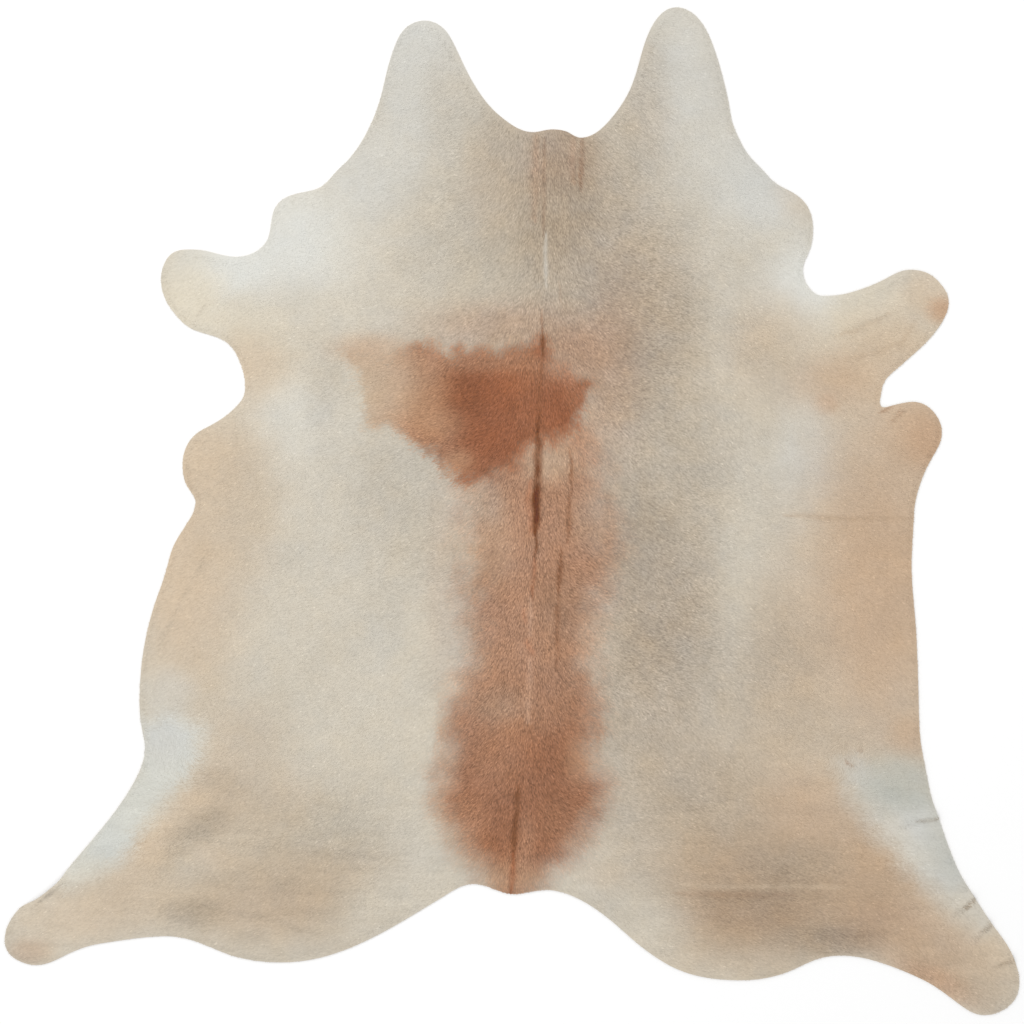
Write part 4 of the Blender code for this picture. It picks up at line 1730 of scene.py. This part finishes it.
    def grow(self, finish: bpy.types.Material) -> list[bpy.types.Object]:
        """Grows the locks of every area.

        Args:
            finish: The locks' material.

        Returns:
            One object for each area.
        """
        tree = self.tree(finish)
        sockets = {item.name: item.identifier for item in tree.interface.items_tree if item.in_out == "INPUT"}
        values = {
            "Density": self.density,
            "Length": self.length,
            "Width": self.width,
            "Ridge": self.ridge,
            "Sink": self.sink,
            "Lift": self.lift,
            "Overhang": self.overhang,
            "Stray angle": self.stray_angle,
        }
        verts = np.column_stack([self.net.places, self.skin.relief.top(self.net.places)])
        room = self.skin.edge.depth(self.net.places)
        lie = self.skin.flow.direction(self.net.places)
        area_numbers = self.area_of(self.net.places[self.net.triangles].mean(axis=1))
        grown = []
        for number, area in enumerate(CoatArea):
            triangles = self.net.triangles[area_numbers == number]
            used, faces = np.unique(triangles, return_inverse=True)
            mesh = bpy.data.meshes.new(area.value)
            mesh.from_pydata(verts[used].tolist(), [], faces.reshape(-1, 3).tolist())
            mesh.attributes.new(LIE, "FLOAT_VECTOR", "POINT").data.foreach_set("vector", lie[used].ravel())
            mesh.attributes.new(ROOM, "FLOAT", "POINT").data.foreach_set("value", room[used])
            piece = bpy.data.objects.new(area.value, mesh)
            bpy.context.scene.collection.objects.link(piece)
            growth = piece.modifiers.new("locks", "NODES")
            growth.node_group = tree
            growth[sockets["Seed"]] = LockSeed.FIRST_AREA + number
            growth[sockets["Finish"]] = finish
            for name, value in values.items():
                growth[sockets[name]] = value
            grown_piece = piece.evaluated_get(bpy.context.evaluated_depsgraph_get())
            piece.data = bpy.data.meshes.new_from_object(grown_piece)
            piece.modifiers.remove(growth)
            bpy.data.meshes.remove(mesh)
            piece.data.name = area.value
            self.dye(piece.data)
            grown.append(piece)
            LOG.info("%s: %d triangles", area.value, len(piece.data.polygons))
        return grown

    def dye(self, mesh: bpy.types.Mesh) -> None:
        """Gives each lock the chart's colour at its root, in its own tone, and a place on the bake map.

        Args:
            mesh: One area's locks.
        """
        count = len(mesh.vertices)
        root, tone, co = np.zeros(count * 3), np.zeros(count), np.zeros(count * 3)
        mesh.attributes[ROOT].data.foreach_get("vector", root)
        mesh.attributes[TONE].data.foreach_get("value", tone)
        mesh.vertices.foreach_get("co", co)
        roots = root.reshape(-1, 3)[:: self.verts_of_a_lock, :2]
        colours = self.skin.chart.paint(roots, tone[:: self.verts_of_a_lock])
        colours = np.repeat(colours, self.verts_of_a_lock, axis=0)
        mesh.attributes.new(COAT_COLOUR, "FLOAT_COLOR", "POINT").data.foreach_set("color", colours.ravel())
        flat = co.reshape(-1, 3)[:, :2]
        low, reach = flat.min(axis=0), np.ptp(flat, axis=0).max()
        corner_vert = np.zeros(len(mesh.loops), int)
        mesh.loops.foreach_get("vertex_index", corner_vert)
        where = (flat - low) / reach * self.map_share + self.map_start
        mesh.uv_layers.new(name=BAKE_MAP).uv.foreach_set("vector", where[corner_vert].ravel())
        mesh.shade_smooth()


@dataclass(frozen=True)
class Studio:
    """The pale floor, the soft light and the camera straight above the rug."""

    floor_side: float = 14.0
    floor_gap: float = 0.3 * MM
    floor_shade: float = 0.9
    floor_roughness: float = 0.9
    floor_specular: float = 0.1
    sky: float = 0.95
    panel_side: float = 3.5
    panel_place: tuple[float, float, float] = (-1.6, 1.8, 4.5)
    panel_power: float = 75.0
    lens: float = 100.0
    sensor: float = 36.0
    picture_width: float = 2.232
    picture_middle: Place = (0.0, -1.7 * MM)

    def floor(self) -> None:
        """Builds the floor."""
        half = self.floor_side / 2
        mesh = bpy.data.meshes.new("floor")
        square = [(-half, -half), (half, -half), (half, half), (-half, half)]
        mesh.from_pydata([(*corner, -self.floor_gap) for corner in square], [], [(0, 1, 2, 3)])
        material, _, shader = new_material("pale floor")
        shader.inputs["Base Color"].default_value = (self.floor_shade,) * 3 + (1.0,)
        shader.inputs["Roughness"].default_value = self.floor_roughness
        shader.inputs["Specular IOR Level"].default_value = self.floor_specular
        mesh.materials.append(material)
        floor = bpy.data.objects.new("floor", mesh)
        bpy.context.scene.collection.objects.link(floor)

    def light(self) -> None:
        """Sets an even sky and one broad panel above the rug's left shoulder."""
        world = bpy.data.worlds.new("studio")
        world.use_nodes = True
        sky = world.node_tree.nodes["Background"]
        sky.inputs["Color"].default_value = (1.0, 1.0, 1.0, 1.0)
        sky.inputs["Strength"].default_value = self.sky
        bpy.context.scene.world = world
        lamp = bpy.data.lights.new("panel", "AREA")
        lamp.size = self.panel_side
        lamp.energy = self.panel_power
        panel = bpy.data.objects.new("panel", lamp)
        panel.location = self.panel_place
        panel.rotation_euler = (-panel.location).to_track_quat("-Z", "Y").to_euler()
        bpy.context.scene.collection.objects.link(panel)

    def camera(self) -> None:
        """Sets the camera straight above the rug, with the neck at the top of the picture."""
        data = bpy.data.cameras.new("camera")
        data.lens = self.lens
        data.sensor_width = self.sensor
        camera = bpy.data.objects.new("camera", data)
        height = self.picture_width * self.lens / self.sensor + LEATHER + COAT
        camera.location = (*self.picture_middle, height)
        bpy.context.scene.collection.objects.link(camera)
        bpy.context.scene.camera = camera
        bpy.context.scene.view_settings.view_transform = "Standard"


def corners(box: tuple) -> list[list[float]]:
    """A box's lowest and highest corners as plain lists."""
    return [[float(value) for value in corner] for corner in box]


def main() -> None:
    """Builds the rug, dresses it and sets the studio."""
    logging.basicConfig(level=logging.INFO, format="%(message)s")
    edge = CutEdge(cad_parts[HIDE_NODE])
    chart, flow = CoatChart(), HairFlow()
    skin = Skin(edge, Relief(edge), chart, flow)
    net = skin.build()
    clouds, grain = cloud_group(), grain_group()
    finishes = {
        SkinSide.COAT: UndercoatFinish().material(clouds, grain),
        SkinSide.FLESH: SuedeFinish().material(),
        SkinSide.RAW: RawEdgeFinish().material(),
    }
    for side in SkinSide:
        skin.object.data.materials.append(finishes[side])
    LOG.info("%s: %d faces", skin.name, len(skin.object.data.polygons))
    locks = Locks(skin, net).grow(LockFinish().material(clouds))
    for piece in (skin.object, *locks):
        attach(piece, BODY)
    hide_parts(HIDE_NODE)
    studio = Studio()
    studio.floor()
    studio.light()
    studio.camera()


if __name__ == "__main__":
    main()
